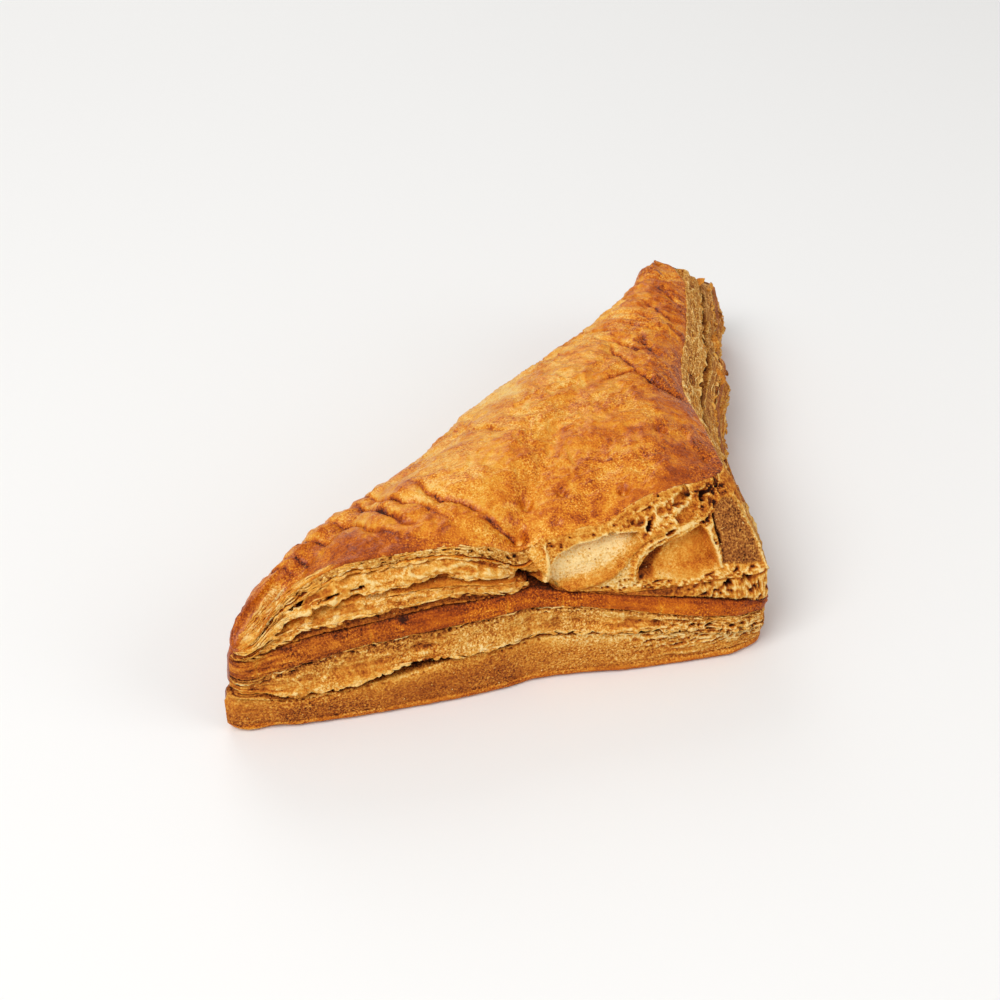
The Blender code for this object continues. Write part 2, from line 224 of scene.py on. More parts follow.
FRONT_STATIONS = (0, 0.06, 0.12, 0.25, 0.40, 0.50, 0.56, 0.62, 0.72, 0.85, 1.0)
FRONT_OUTER_INSET = (1.3, 1.3, 0.5, 0.2, 0.7, 1.6, 2.8, 2.6, 1.4, 0.9, 1.0)
FRONT_LIP_INSET = (1.2, 3.2, 5.0, 7.0, 7.3, 7.5, 8.0, 8.0, 9.0, 12.0, 15.8)
FRONT_HEIGHTS = {
    "lip": (18.5, 23.0, 29.0, 33.1, 33.4, 32.1, 29.4, 31.2, 31.9, 35.0, 33.5),
    "margin": (18.2, 21.5, 26.8, 31.0, 31.4, 29.0, 26.0, 28.6, 29.0, 31.0, 30.5),
    "flap": (17.9, 20.0, 24.0, 27.4, 27.7, 25.8, 23.6, 24.4, 25.0, 27.5, 26.6),
    "crevice": (17.7, 19.6, 23.3, 26.7, 27.0, 25.1, 23.0, 22.4, 22.4, 25.0, 24.6),
    "ribbon": (17.5, 19.2, 22.4, 25.6, 26.0, 24.2, 22.8, 21.4, 20.4, 22.8, 22.6),
    "ledge": (17.2, 18.6, 20.8, 22.9, 23.8, 23.3, 22.5, 20.9, 19.2, 19.4, 19.4),
    "seam": (16.6, 17.8, 19.8, 21.4, 22.4, 22.3, 21.7, 20.3, 18.4, 15.8, 12.3),
    "band": (12.4, 13.0, 14.6, 17.0, 18.0, 18.1, 17.7, 17.1, 15.2, 12.0, 9.2),
    "cleft": (10.4, 9.6, 8.5, 9.7, 11.6, 12.0, 11.9, 11.6, 11.0, 9.3, 6.6),
    "gap": (10.0, 9.1, 7.9, 9.0, 11.1, 11.6, 11.6, 11.2, 10.6, 8.8, 6.3),
    "heel": (9.6, 8.6, 7.4, 8.3, 10.6, 11.2, 11.2, 10.8, 10.2, 8.3, 5.9),
    "belly": (6.0, 5.2, 4.6, 5.0, 6.0, 6.4, 6.4, 6.2, 6.0, 5.2, 4.2),
    "foot": (2.2, 2.0, 1.8, 1.8, 2.0, 2.0, 2.0, 2.0, 2.0, 2.0, 2.2),
}
FRONT_DEPTHS = {
    "flap": (0, 0, 0, 0, 0, 0.4, 2.2, 2.2, 2.4, 1.6, 0),
    "crevice": (0.2, 1.6, 2.6, 2.8, 2.6, 3.2, 3.6, 2.4, 2.2, 2.4, 0.3),
    "ribbon": (0, 0, 0, 0, 0, 0, 0.4, 1.0, 1.6, 1.8, 0),
    "ledge": (0, 0, 0, 0, 0, 0, 0, 0, 0, -0.4, -1.4),
    "gap": (0.6, 1.8, 2.6, 3.0, 2.6, 2.2, 1.8, 1.6, 1.4, 1.0, 0.6),
}
RIGHT_STATIONS = (0, 0.12, 0.24, 0.36, 0.48, 0.62, 0.76, 0.88, 1.0)
RIGHT_OUTER_STATIONS = (0, 0.11, 0.20, 0.30, 0.38, 0.48, 0.54, 0.59, 0.645, 0.68, 0.74, 0.85, 1.0)
RIGHT_OUTER_INSET = (2.8, 3.6, 4.4, 6.4, 7.1, 6.4, 4.8, 3.0, 2.0, 3.4, 2.6, 1.2, 0.6)
RIGHT_LIP_INSET = (12.9, 14.4, 16.2, 18.2, 17.6, 15.4, 14.0, 13.2, 12.0)
RIGHT_HEIGHTS = {
    "lip": (33.5, 33.0, 32.5, 32.0, 31.5, 31.2, 31.0, 30.8, 29.8),
    "margin": (30.5, 30.6, 30.2, 29.6, 29.2, 29.0, 29.0, 29.0, 29.0),
    "flap": (26.6, 27.6, 27.0, 26.2, 26.0, 26.0, 26.0, 26.0, 25.6),
    "crevice": (24.6, 25.6, 25.8, 25.4, 25.2, 25.2, 25.2, 25.2, 24.6),
    "ribbon": (22.6, 23.6, 24.4, 24.2, 24.0, 24.0, 24.0, 24.0, 23.4),
    "ledge": (19.4, 19.6, 20.6, 21.6, 22.0, 22.0, 22.0, 22.0, 21.4),
    "seam": (12.3, 14.0, 17.0, 19.4, 20.4, 20.6, 20.6, 20.4, 19.4),
    "band": (9.2, 10.4, 12.8, 15.0, 16.0, 16.4, 16.2, 15.8, 15.0),
    "cleft": (6.6, 7.2, 8.6, 10.0, 10.8, 11.0, 11.0, 10.8, 10.8),
    "gap": (6.3, 6.8, 8.1, 9.5, 10.3, 10.5, 10.5, 10.3, 10.2),
    "heel": (5.9, 6.4, 7.6, 9.0, 9.8, 10.0, 10.0, 9.8, 9.6),
    "belly": (4.2, 4.4, 4.9, 5.6, 6.0, 6.1, 6.1, 6.0, 6.0),
    "foot": (2.2, 2.0, 2.0, 2.0, 2.0, 2.0, 2.0, 2.0, 2.2),
}
RIGHT_DEPTHS = {
    "ledge": (-1.4, -0.6, 0, 0, 0, 0, 0, 0, 0),
    "crevice": (0.3, 1.6, 2.6, 3.0, 3.0, 3.0, 2.8, 2.0, 1.0),
    "gap": (0.6, 1.4, 1.8, 1.8, 1.8, 1.8, 1.8, 1.4, 0.6),
}
LEAN_HEIGHTS = (0, 0.12, 0.30, 0.50, 0.65, 0.80, 0.95, 1.0)
LEAN_SHARES = (0.06, 0, 0, 0.12, 0.28, 0.58, 0.90, 1.0)

# %% The rounded fold
FOLD_COURSES = {
    # height and inset along the fold, then the insets at the far and the left tip
    "lip": (30.6, 5.0, 3.4, 1.4), "margin": (29.2, 2.9, 4.2, 1.3), "flap": (27.4, 1.5, 5.2, 1.2),
    "crevice": (25.2, 0.7, 5.6, 1.2), "ribbon": (22.8, 0.2, 5.0, 1.0), "ledge": (20.4, 0.0, 4.2, 0.8),
    "seam": (17.8, 0.0, 2.6, 0.6), "band": (15.0, 0.1, 1.0, 0.4), "cleft": (12.0, 0.4, 1.0, 0.2),
    "gap": (9.5, 0.8, 1.4, 0.4), "heel": (7.0, 1.4, 1.2, -0.2), "belly": (4.6, 2.2, 1.2, -0.4),
    "foot": (2.6, 3.2, 1.6, -0.2), "rim": (1.0, 4.4, 2.2, 0.2), "sole": (0.0, 6.2, 3.4, 1.2),
}
FOLD_STATIONS = (0, 0.05, 0.14, 0.30, 0.48, 0.64, 0.82, 0.92, 0.97, 1.0)
FOLD_SHIFTS = (0, -2.0, 0.4, 0.6, -1.3, 0.9, -0.9, -0.5, 0.3, 0)
FOLD_TOPS = (30.6, 33.0, 31.4, 30.8, 31.0, 30.4, 30.6, 28.6, 23.0, 18.5)
FOLD_ROWS = tuple(FOLD_COURSES)
print(len(FOLD_ROWS), "courses from the crust edge to the sole")

# %% [markdown]
# A curve through the stations must not swing past them, or a layer would cut through its
# neighbour. So the slopes are limited where the values turn, which is what a monotone
# cubic does.


# %% A curve through stations
def through(stations, values, t):
    """A smooth curve through the values that never overshoots between stations."""
    x = np.asarray(stations, float)
    y = np.asarray(values, float)
    width = np.diff(x)
    rate = np.diff(y) / width
    slope = np.zeros_like(y)
    slope[0] = rate[0]
    slope[-1] = rate[-1]
    for i in range(1, len(x) - 1):
        if rate[i - 1] * rate[i] > 0:
            before = 2 * width[i] + width[i - 1]
            after = width[i] + 2 * width[i - 1]
            slope[i] = (before + after) / (before / rate[i - 1] + after / rate[i])
    i = np.clip(np.searchsorted(x, t) - 1, 0, len(x) - 2)
    f = np.clip((t - x[i]) / width[i], 0, 1)
    start = (1 + 2 * f) * (1 - f) ** 2 * y[i] + f * (1 - f) ** 2 * width[i] * slope[i]
    end = f * f * (3 - 2 * f) * y[i + 1] + f * f * (f - 1) * width[i] * slope[i + 1]
    return start + end


# %% Height and inset of a course
def cut_wall(side, row, t):
    """Height and inset of a course along the front (0) or right (1) cut side."""
    stations = (FRONT_STATIONS, RIGHT_STATIONS)[side]
    heights = (FRONT_HEIGHTS, RIGHT_HEIGHTS)[side]
    depths = (FRONT_DEPTHS, RIGHT_DEPTHS)[side]
    outer_stations = (FRONT_STATIONS, RIGHT_OUTER_STATIONS)[side]
    outer = through(outer_stations, (FRONT_OUTER_INSET, RIGHT_OUTER_INSET)[side], t)
    edge = through(stations, (FRONT_LIP_INSET, RIGHT_LIP_INSET)[side], t)
    if row == "sole":
        return np.zeros_like(t), outer + SOLE_TUCK
    if row == "rim":
        return np.full_like(t, RIM_HEIGHT), outer + RIM_TUCK
    height = through(stations, heights[row], t)
    share = height / through(stations, heights["lip"], t)
    inset = outer + (edge - outer) * through(LEAN_HEIGHTS, LEAN_SHARES, share)
    if row in depths:
        inset = inset + through(stations, depths[row], t)
    return height, inset


def fold_wall(row, t):
    """Height and inset of a course along the rounded fold."""
    height, inset, far_inset, left_inset = FOLD_COURSES[row]
    share = height / FOLD_COURSES["lip"][0]
    heights = [share * top for top in FOLD_TOPS]
    heights[0] = cut_wall(1, row, np.array([1.0]))[0][0]
    heights[-1] = cut_wall(0, row, np.array([0.0]))[0][0]
    insets = [inset + shift for shift in FOLD_SHIFTS]
    insets[0], insets[-1] = far_inset, left_inset
    insets[-2] = 0.5 * (inset + left_inset) + FOLD_SHIFTS[-2]
    return through(FOLD_STATIONS, heights, t), through(FOLD_STATIONS, insets, t)


def course_profile(side, row, t):
    """Height and inset of a course along any side: front (0), right (1) or fold (2)."""
    return fold_wall(row, t) if side == 2 else cut_wall(side, row, t)


# %% [markdown]
# Each course runs straight along its side and turns the corners on a small arc. The
# inset moves it in from the outline, so a stack of courses leans, opens and overhangs.

# %% Courses in plan
BEND_FADE = 2.0
CORNERS = np.array([LEFT_TIP, FRONT_CORNER, FAR_TIP])
CENTROID = CORNERS.mean(0)
ALONG = []
INWARD = []
for first, second in ((0, 1), (1, 2), (2, 0)):
    step = CORNERS[second] - CORNERS[first]
    step = step / np.linalg.norm(step)
    ALONG.append(step)
    INWARD.append(np.array([-step[1], step[0]]))


def sharp_corner(index, row):
    """Where the two straight lines of a course would meet at a corner."""
    before = course_profile((index - 1) % 3, row, np.array([1.0]))[1][0]
    after = course_profile(index, row, np.array([0.0]))[1][0]
    inward = np.array([INWARD[index - 1], INWARD[index]])
    shift = np.linalg.solve(inward, np.array([before, after]))
    return CORNERS[index] + shift


def half_angle(index):
    """Half of the angle between the two sides at a corner."""
    return (pi - acos(float(ALONG[index - 1] @ ALONG[index]))) / 2


def course(side, row, t):
    """Points of a course along a side, from mid corner to mid corner."""
    along = ALONG[side]
    inward = INWARD[side]
    next_corner = (side + 1) % 3
    start_radius = CORNER_RADII[side]
    end_radius = CORNER_RADII[next_corner]
    start_turn = pi / 2 - half_angle(side)
    end_turn = pi / 2 - half_angle(next_corner)
    start = sharp_corner(side, row) + along * start_radius / tan(half_angle(side))
    end = sharp_corner(next_corner, row) - along * end_radius / tan(half_angle(next_corner))
    straight = np.linalg.norm(end - start)
    start_arc = start_radius * start_turn
    end_arc = end_radius * end_turn
    travelled = t * (start_arc + straight + end_arc)
    height, inset = course_profile(side, row, t)
    share = np.clip((travelled - start_arc) / straight, 0, 1)
    points = start + np.outer(share, end - start)
    early = travelled < start_arc
    angle = start_turn - travelled / start_radius
    arc = start + inward * start_radius
    arc = arc - np.outer(start_radius * np.sin(angle), along)
    arc = arc - np.outer(start_radius * np.cos(angle), inward)
    points[early] = arc[early]
    late = travelled > start_arc + straight
    angle = (travelled - start_arc - straight) / end_radius
    arc = end + inward * end_radius
    arc = arc + np.outer(end_radius * np.sin(angle), along)
    arc = arc - np.outer(end_radius * np.cos(angle), inward)
    points[late] = arc[late]
    ends = course_profile(side, row, np.array([0.0, 1.0]))[1]
    bend = inset - (ends[0] + (ends[1] - ends[0]) * share)
    fade = np.clip(travelled / (start_arc + BEND_FADE), 0, 1)
    remaining = start_arc + straight + end_arc - travelled
    fade = fade * np.clip(remaining / (end_arc + BEND_FADE), 0, 1)
    points = points + np.outer(bend * fade, inward)
    return np.column_stack([points, height])


# %% [markdown]
# ## Chance, under control
# Dough tears, blisters and browns unevenly, but the same way each time the script runs.
# Two fields do it all. `swell` is smooth noise for swelling and patchy browning. `cells`
# gives the distance to scattered centres, which makes bubbles, pits and honeycomb.


# %% Repeatable noise
HASH_STEPS = np.array((374761393, 668265263, 1440662683))
HASH_SEED = 9176133
HASH_MIXES = ((13, 1274126177), (15, 668265263), (16, 1))
HASH_WORD = 0xFFFFFFFF
HALF_WORD = 0xFFFF


def scrambled(cell, seed):
    """A repeatable whole number for each lattice cell."""
    mixed = ((cell * HASH_STEPS).sum(1) + seed * HASH_SEED) & HASH_WORD
    for shift, factor in HASH_MIXES:
        mixed = ((mixed ^ (mixed >> shift)) * factor) & HASH_WORD
    return mixed


def gradient_noise(spots, seed):
    """Smooth noise from random slopes at whole-number places."""
    base = np.floor(spots).astype(np.int64)
    part = spots - base
    fade = part * part * part * (part * (part * 6 - 15) + 10)
    total = np.zeros(len(spots))
    for step in product((0, 1), repeat=3):
        mixed = scrambled(base + step, seed)
        turn = (mixed & HALF_WORD) * (2 * pi / (HALF_WORD + 1))
        rise = (mixed >> 16) / (HALF_WORD / 2) - 1
        flat = np.sqrt(1 - rise * rise)
        away = part - step
        pull = flat * (np.cos(turn) * away[:, 0] + np.sin(turn) * away[:, 1]) + rise * away[:, 2]
        total += np.prod(np.where(step, fade, 1 - fade), axis=1) * pull
    return total


def swell(points, spacing, seed, octaves=1):
    """Smooth noise between about -1 and 1; spacing is one length or one for each axis."""
    spots = np.asarray(points) / spacing
    total = 0.0
    size = 1.0
    for octave in range(octaves):
        total = total + size * gradient_noise(spots * 2 ** octave, seed + 31 * octave)
        size *= 0.5
    return 1.7 * total


def cells(points, spacing, seed):
    """Distance to the nearest and to the next scattered centre, and a number for each cell."""
    spots = np.asarray(points) / spacing
    base = np.floor(spots).astype(np.int64)
    nearest = np.full(len(spots), 9.0)
    following = nearest.copy()
    mark = np.zeros(len(spots))
    for step in product((-1, 0, 1), repeat=3):
        corner = base + step
        mixed = scrambled(corner, seed)
        jitter = np.column_stack([(mixed >> shift) & 1023 for shift in (0, 10, 20)]) / 1023
        away = np.linalg.norm(corner + 0.1 + 0.8 * jitter - spots, axis=1)
        closer = away < nearest
        following = np.where(closer, nearest, np.minimum(following, away))
        mark = np.where(closer, jitter[:, 0], mark)
        nearest = np.where(closer, away, nearest)
    return nearest, following, mark


def ease(low, high, value):
    """A smooth step from 0 at low to 1 at high."""
    share = np.clip((value - low) / (high - low), 0, 1)
    return share * share * (3 - 2 * share)


def between(value, rise_start, rise_end, fall_start, fall_end):
    """A smooth hill that rises from 0 to 1 over one stretch and falls back over another."""
    return ease(rise_start, rise_end, value) * (1 - ease(fall_start, fall_end, value))


def near(distance, width):
    """1 on a line, fading to 0 over about its width."""
    return np.exp(-(distance / width) ** 2)


def blend(base, value, share):
    """The base moved towards a value by a share."""
    return base + (value - base) * share


trial = np.arange(1.0, 10.0).reshape(3, 3)
print("noise at three places:", swell(trial, 3.0, 1).round(3))

# %% [markdown]
# ## Rings, skins and closed meshes
# Every piece here is made of rings: one course taken all round the puff, at many columns.
# The two cut sides get fine columns. The fold side of a wall piece is hidden inside the
# crust, so a few columns do.

# %% Columns and rings
FRONT_COLUMNS = 500
RIGHT_COLUMNS = 330
HIDDEN_COLUMNS = 40
HIDDEN_SINK = 2.6
HIDDEN_DROP = 2.0
HIDDEN_BLEND = 0.02
CRUST_HEIGHT = 30.0


def ring(row):
    """A course all round: fine on the cut sides, coarse and sunk in on the fold."""
    front = course(0, row, np.arange(FRONT_COLUMNS) / FRONT_COLUMNS)
    right = course(1, row, np.arange(RIGHT_COLUMNS) / RIGHT_COLUMNS)
    share = np.arange(HIDDEN_COLUMNS) / HIDDEN_COLUMNS
    fold = course(2, row, share)
    tucked = ease(0.0, HIDDEN_BLEND, share) * ease(0.0, HIDDEN_BLEND, 1 - share)
    fold[:, :2] += INWARD[2] * (HIDDEN_SINK * tucked)[:, None]
    fold[:, 2] *= 1 - tucked * HIDDEN_DROP / CRUST_HEIGHT
    return np.vstack([front, right, fold])


RINGS = {row: ring(row) for row in FOLD_ROWS}
AROUND = len(RINGS["lip"])
COLUMNS = (FRONT_COLUMNS, RIGHT_COLUMNS, HIDDEN_COLUMNS)
SIDE = np.repeat([0, 1, 2], COLUMNS)
SHARE = np.concatenate([np.arange(count) / count for count in COLUMNS])
ON_FRONT = (SIDE == 0)[None, :] * 1.0
ON_RIGHT = (SIDE == 1)[None, :] * 1.0

def facing_out(points):
    """The level direction straight out of the wall at each column."""
    run = np.roll(points[:, :2], -2, axis=0) - np.roll(points[:, :2], 2, axis=0)
    out = np.column_stack([run[:, 1], -run[:, 0]])
    return out / np.linalg.norm(out, axis=1)[:, None]


OUT = facing_out(RINGS["belly"])
print("columns round the wall:", AROUND)


# %% Mesh helpers
def drawn_in(points, share, drop=0.0):
    """A ring drawn in towards the middle of the puff, and let down by a drop."""
    drawn = points.copy()
    drawn[:, :2] = CENTROID + (points[:, :2] - CENTROID) * share
    drawn[:, 2] -= drop
    return drawn


def grid_quads(rows, around):
    """Outward quads of stacked rings that run anticlockwise seen from above, top row first."""
    k = np.arange(around)
    after = (k + 1) % around
    start = np.arange(rows - 1)[:, None] * around
    quads = np.stack([start + k, start + around + k, start + around + after, start + after], -1)
    return quads.reshape(-1, 4)


def closed_mesh(name, points, faces, fields):
    """A mesh object from millimetre points, with a named value on each point for its finish."""
    mesh = bpy.data.meshes.new(name)
    metres = (points - CENTRE_SHIFT) * MM
    mesh.from_pydata(metres.tolist(), [], [tuple(face) for face in faces])
    mesh.shade_smooth()
    for field, values in fields.items():
        layer = mesh.attributes.new(field, "FLOAT", "POINT")
        layer.data.foreach_set("value", np.ascontiguousarray(values, dtype=np.float32))
    piece = bpy.data.objects.new(name, mesh)
    bpy.context.scene.collection.objects.link(piece)
    triangles = sum(len(face) - 2 for face in faces)
    print(name, "has", triangles, "triangles")
    return piece


def normals_of(grid):
    """Outward unit normals of a grid of rings, given as rows by columns by 3."""
    across = np.roll(grid, -1, axis=1) - np.roll(grid, 1, axis=1)
    down = np.gradient(grid, axis=0)
    normal = np.cross(down, across)
    return normal / np.maximum(np.linalg.norm(normal, axis=2), 1e-9)[..., None]


def blurred(grid, passes):
    """The grid smoothed along and across, for telling bumps from hollows."""
    for _ in range(passes):
        grid = (np.roll(grid, -1, axis=1) + 2 * grid + np.roll(grid, 1, axis=1)) / 4
        inner = (grid[:-2] + 2 * grid[1:-1] + grid[2:]) / 4
        grid = np.concatenate([grid[:1], inner, grid[-1:]])
    return grid


# %% [markdown]
# ## Walls from a profile
# A cut wall is drawn as a profile, the way a moulding is: a list of lines from top to
# bottom, each between two courses, pushed out or in and up or down. Lines that belong to
# one torn edge wander together along the wall. The surface is then filled in between the
# lines, closely enough for crumbs.


# %% Wall building
TIP_FACE = -68.7
WANDER_SWELLS = ((11.0, 1.0), (3.2, 0.45), (1.0, 0.22))


def wander(group, amount, points):
    """How a torn edge strays from its course, in and out and up and down."""
    strays = []
    for seed in (100 + 7 * group, 103 + 7 * group):
        swells = [size * swell(points * (1, 1, 0), spacing, seed + number)
                  for number, (spacing, size) in enumerate(WANDER_SWELLS)]
        strays.append(amount * sum(swells))
    return strays


def control_rings(lines):
    """The profile's lines as rings; no line reaches past the flat face of the left tip."""
    made = []
    calm = ease(0.0, 0.05, SHARE + (SIDE == 1)) * (1 - ease(0.97, 1.0, SHARE) * (SIDE == 1))
    calm = np.where(SIDE == 2, 0.0, calm)
    for upper, lower, share, out, up, group, stray in lines:
        points = RINGS[upper] * (1 - share) + RINGS[lower] * share
        in_out, up_down = wander(group, stray, points)
        points[:, :2] += OUT * ((out + in_out) * calm)[:, None]
        points[:, 2] += (up + up_down) * calm
        points[:, 0] = np.maximum(points[:, 0], TIP_FACE)
        made.append(points)
    return np.array(made)


def spacing_down(grid):
    """The mean distance from each ring to the next, along the front."""
    front = slice(0, FRONT_COLUMNS)
    return np.linalg.norm(np.diff(grid, axis=0)[:, front], axis=2).mean(1)


def filled(controls, spacing):
    """Rings filled in between the control rings, and the place of each on the profile."""
    places = [0.0]
    for index, gap in enumerate(spacing_down(controls)):
        steps = max(1, int(round(gap / spacing)))
        places.extend(index + (np.arange(steps) + 1) / steps)
    places = np.array(places)
    lower = np.minimum(places.astype(int), len(controls) - 2)
    share = (places - lower)[:, None, None]
    grid = controls[lower] * (1 - share) + controls[lower + 1] * share
    return blurred(grid, 1), places


def along_profile(values, places):
    """A value given for each profile line, read at every filled-in ring."""
    return np.interp(places, np.arange(len(values)), values)[:, None]


# %% [markdown]
# ## Upper layers
# Above the seam the layers have opened. From the crust down they are the porous cut
# margin, a thin folded edge, a blistered golden flap, a crevice darkened as painted
# shade, a pale see-through ribbon that ends in a crisp wavy edge, and a dark baked
# ledge with painted shade under it. The lines below say how far each stands out, and
# how brown (0 pale, 1 nearly black) and how crumbly it is; the lines that go in under
# an edge are given a dark value as painted shade.

# %% Upper profile
UPPER_LINES = (
    # upper and lower course, share between them, out, up, edge group, stray, browning and painted shade,
    # crumb
    ("lip", "margin", 0.00, -1.40, -0.90, 0, 0.00, 0.50, 1.0),
    ("lip", "margin", 0.20, 0.00, 0.00, 0, 0.10, 0.44, 1.0),
    ("lip", "margin", 0.55, 0.15, 0.00, 1, 0.15, 0.40, 1.0),
    ("lip", "margin", 0.90, 0.10, 0.00, 2, 0.20, 0.46, 1.0),
    ("lip", "margin", 1.00, -0.50, -0.05, 2, 0.22, 0.82, 0.3),
    ("lip", "margin", 1.00, 0.45, -0.28, 2, 0.22, 0.34, 0.0),
    ("lip", "margin", 1.00, -0.25, -0.50, 2, 0.22, 0.70, 0.2),
    ("margin", "flap", 0.25, 0.10, 0.00, 3, 0.20, 0.46, 0.5),
    ("margin", "flap", 0.55, 0.55, 0.00, 4, 0.30, 0.36, 0.5),
    ("margin", "flap", 0.85, 0.60, 0.00, 5, 0.42, 0.38, 0.5),
    ("margin", "flap", 1.00, 0.50, 0.00, 5, 0.60, 0.26, 0.3),
    ("margin", "flap", 1.00, -0.80, -0.10, 5, 0.50, 0.86, 0.4),
    ("flap", "crevice", 1.00, 0.00, 0.00, 6, 0.20, 1.00, 0.6),
    ("crevice", "ribbon", 1.00, -0.35, 0.10, 7, 0.30, 0.56, 0.3),
    ("ribbon", "ledge", 0.30, 0.05, 0.00, 7, 0.25, 0.38, 0.1),
    ("ribbon", "ledge", 0.60, 0.00, 0.00, 8, 0.25, 0.36, 0.1),
    ("ribbon", "ledge", 0.86, 0.30, 0.00, 9, 0.30, 0.40, 0.1),
    ("ribbon", "ledge", 1.00, 0.75, 0.00, 9, 0.34, 0.22, 0.1),
    ("ribbon", "ledge", 1.00, -0.35, -0.20, 9, 0.30, 0.76, 0.4),
    ("ledge", "seam", 0.45, -0.10, 0.00, 10, 0.15, 0.70, 0.6),
    ("ledge", "seam", 0.85, 0.10, 0.00, 10, 0.15, 0.72, 0.5),
    ("ledge", "seam", 1.00, -0.80, 0.00, 10, 0.10, 0.95, 0.3),
    ("ledge", "seam", 1.00, -3.00, -0.20, 10, 0.00, 0.95, 0.6),
)
ROW_SPACING = 0.25
INNER_BAKE = 0.7
INNER_CRUMB = 1.0
RELIEF_BLUR = 6
FINISHED = {}


def with_ends(field, end):
    """A field on the rings as one on all points, with one value for the hidden ones."""
    hidden = np.full(AROUND, end)
    return np.concatenate([hidden, field.ravel(), hidden, [end, end]])


def build_wall(name, lines, relief, closings):
    """A closed wall piece from its profile, its relief, and its hidden top and bottom rings."""
    controls = control_rings([line[:7] for line in lines])
    grid, places = filled(controls, ROW_SPACING)
    plain = np.zeros(grid.shape[:2])
    bake, crumb = (plain + along_profile([line[k] for line in lines], places) for k in (7, 8))
    grid, bake, crumb = relief(grid, places, bake, crumb)
    FINISHED[name] = (grid, places, crumb)
    # relief: how far each spot stands above the smoothed wall; the finish turns it into painted shade in
    # hollows and a painted highlight on what stands out
    smooth = blurred(grid, RELIEF_BLUR)
    height = ((grid - smooth) * normals_of(smooth)).sum(2)
    rings = [drawn_in(grid[0], *closings[0])] + list(grid) + [drawn_in(grid[-1], *closings[1])]
    tops = np.array([[*CENTROID, ring[:, 2].min()] for ring in (rings[0], rings[-1])])
    faces = [tuple(face) for face in grid_quads(len(rings), AROUND)]
    centre = len(rings) * AROUND
    for k in range(AROUND):
        after = (k + 1) % AROUND
        faces.append((centre, k, after))
        faces.append((centre + 1, centre - AROUND + after, centre - AROUND + k))
    fields = {"bake": with_ends(bake, INNER_BAKE), "crumb": with_ends(crumb, INNER_CRUMB),
              "relief": with_ends(height, 0.0)}
    return closed_mesh(name, np.vstack(rings + [tops]), faces, fields)


# %% [markdown]
# On the right half of the front the layers change: a pale pocket opens under the crust,
# a rib crosses to the corner, a second pocket lies below it, and the rest is honeycomb.
# These are drawn on the wall as outlines in width and height, and carved in from a plain
# leaning surface.

# %% Pockets and ribs of the right half
POCKET_START = (-10.5, -6.5)
POCKET_OUTLINES = {
    # x and height of each point, round the outline
    "pale": ((-6.3, 21.0), (-6.4, 24.0), (-5.8, 26.2), (-4.4, 28.0), (-1.6, 29.0), (2.5, 29.4),
             (6.5, 29.7), (9.5, 29.8), (12.0, 29.4), (12.0, 28.0), (10.2, 26.4), (7.8, 24.3),
             (4.9, 23.0), (1.0, 21.9), (-3.0, 20.9)),
    "tan": ((13.2, 21.6), (11.2, 22.2), (11.5, 24.0), (13.5, 25.9), (16.9, 27.2), (20.8, 27.9),
            (24.8, 28.6), (26.2, 26.4), (26.9, 23.7), (27.4, 21.6), (25.2, 21.0), (22.0, 20.5),
            (18.4, 20.6), (16.1, 21.0)),
    "web": ((2.2, 21.0), (4.7, 22.4), (7.4, 24.1), (9.4, 25.9), (9.8, 26.4), (9.5, 24.0),
            (9.6, 21.6), (13.2, 21.2), (11.2, 20.0), (7.3, 20.0)),
    "hollow": ((10.8, 20.8), (11.1, 23.0), (12.1, 24.9), (14.4, 26.4), (17.8, 27.4), (20.0, 27.1),
               (17.2, 25.4), (15.8, 23.6), (13.8, 21.2)),
    "face": ((30.6, 31.1), (28.6, 30.4), (27.2, 29.3), (27.1, 27.2), (27.7, 24.7), (27.9, 21.9),
             (31.5, 21.4), (36.2, 20.8), (36.1, 22.4), (35.4, 24.5), (34.7, 26.7), (33.7, 28.6),
             (32.5, 30.4)),
}
POCKET_RIBS = {
    # x and height of each point, along the line
    "rib": ((10.2, 21.4), (10.3, 23.4), (11.1, 25.4), (13.0, 27.2), (16.6, 28.4), (20.6, 28.9),
            (24.4, 29.4), (27.5, 30.6)),
    "edge": ((25.6, 29.4), (26.2, 27.0), (26.8, 24.7), (27.6, 21.6)),
    "fillet": ((-6.2, 20.6), (-3.2, 20.9), (-0.2, 21.5), (2.9, 22.3), (5.9, 23.3), (8.2, 24.8),
               (10.3, 26.7), (11.8, 27.9), (13.8, 28.6), (16.0, 29.0), (19.2, 29.6), (23.1, 30.0),
               (26.6, 30.9)),
    "corner rim": ((31.4, 31.8), (32.9, 30.4), (34.2, 28.3), (35.2, 25.9), (35.9, 23.6),
                   (36.4, 21.0), (37.2, 19.0)),
    "slit": ((27.5, 29.3), (27.6, 27.5), (28.1, 25.0)),
}
NOTCH_FLAP = ((-10.6, 29.6), (-7.6, 29.6), (-6.2, 28.0), (-6.4, 25.0), (-7.2, 24.4), (-9.4, 27.2))
NOTCH_STRAND = ((-6.6, 29.9), (-6.5, 28.0), (-6.3, 26.0), (-7.2, 23.6))
NOTCH = ((-11.6, 24.2), (-9.6, 22.9), (-7.9, 21.7), (-6.6, 21.2))
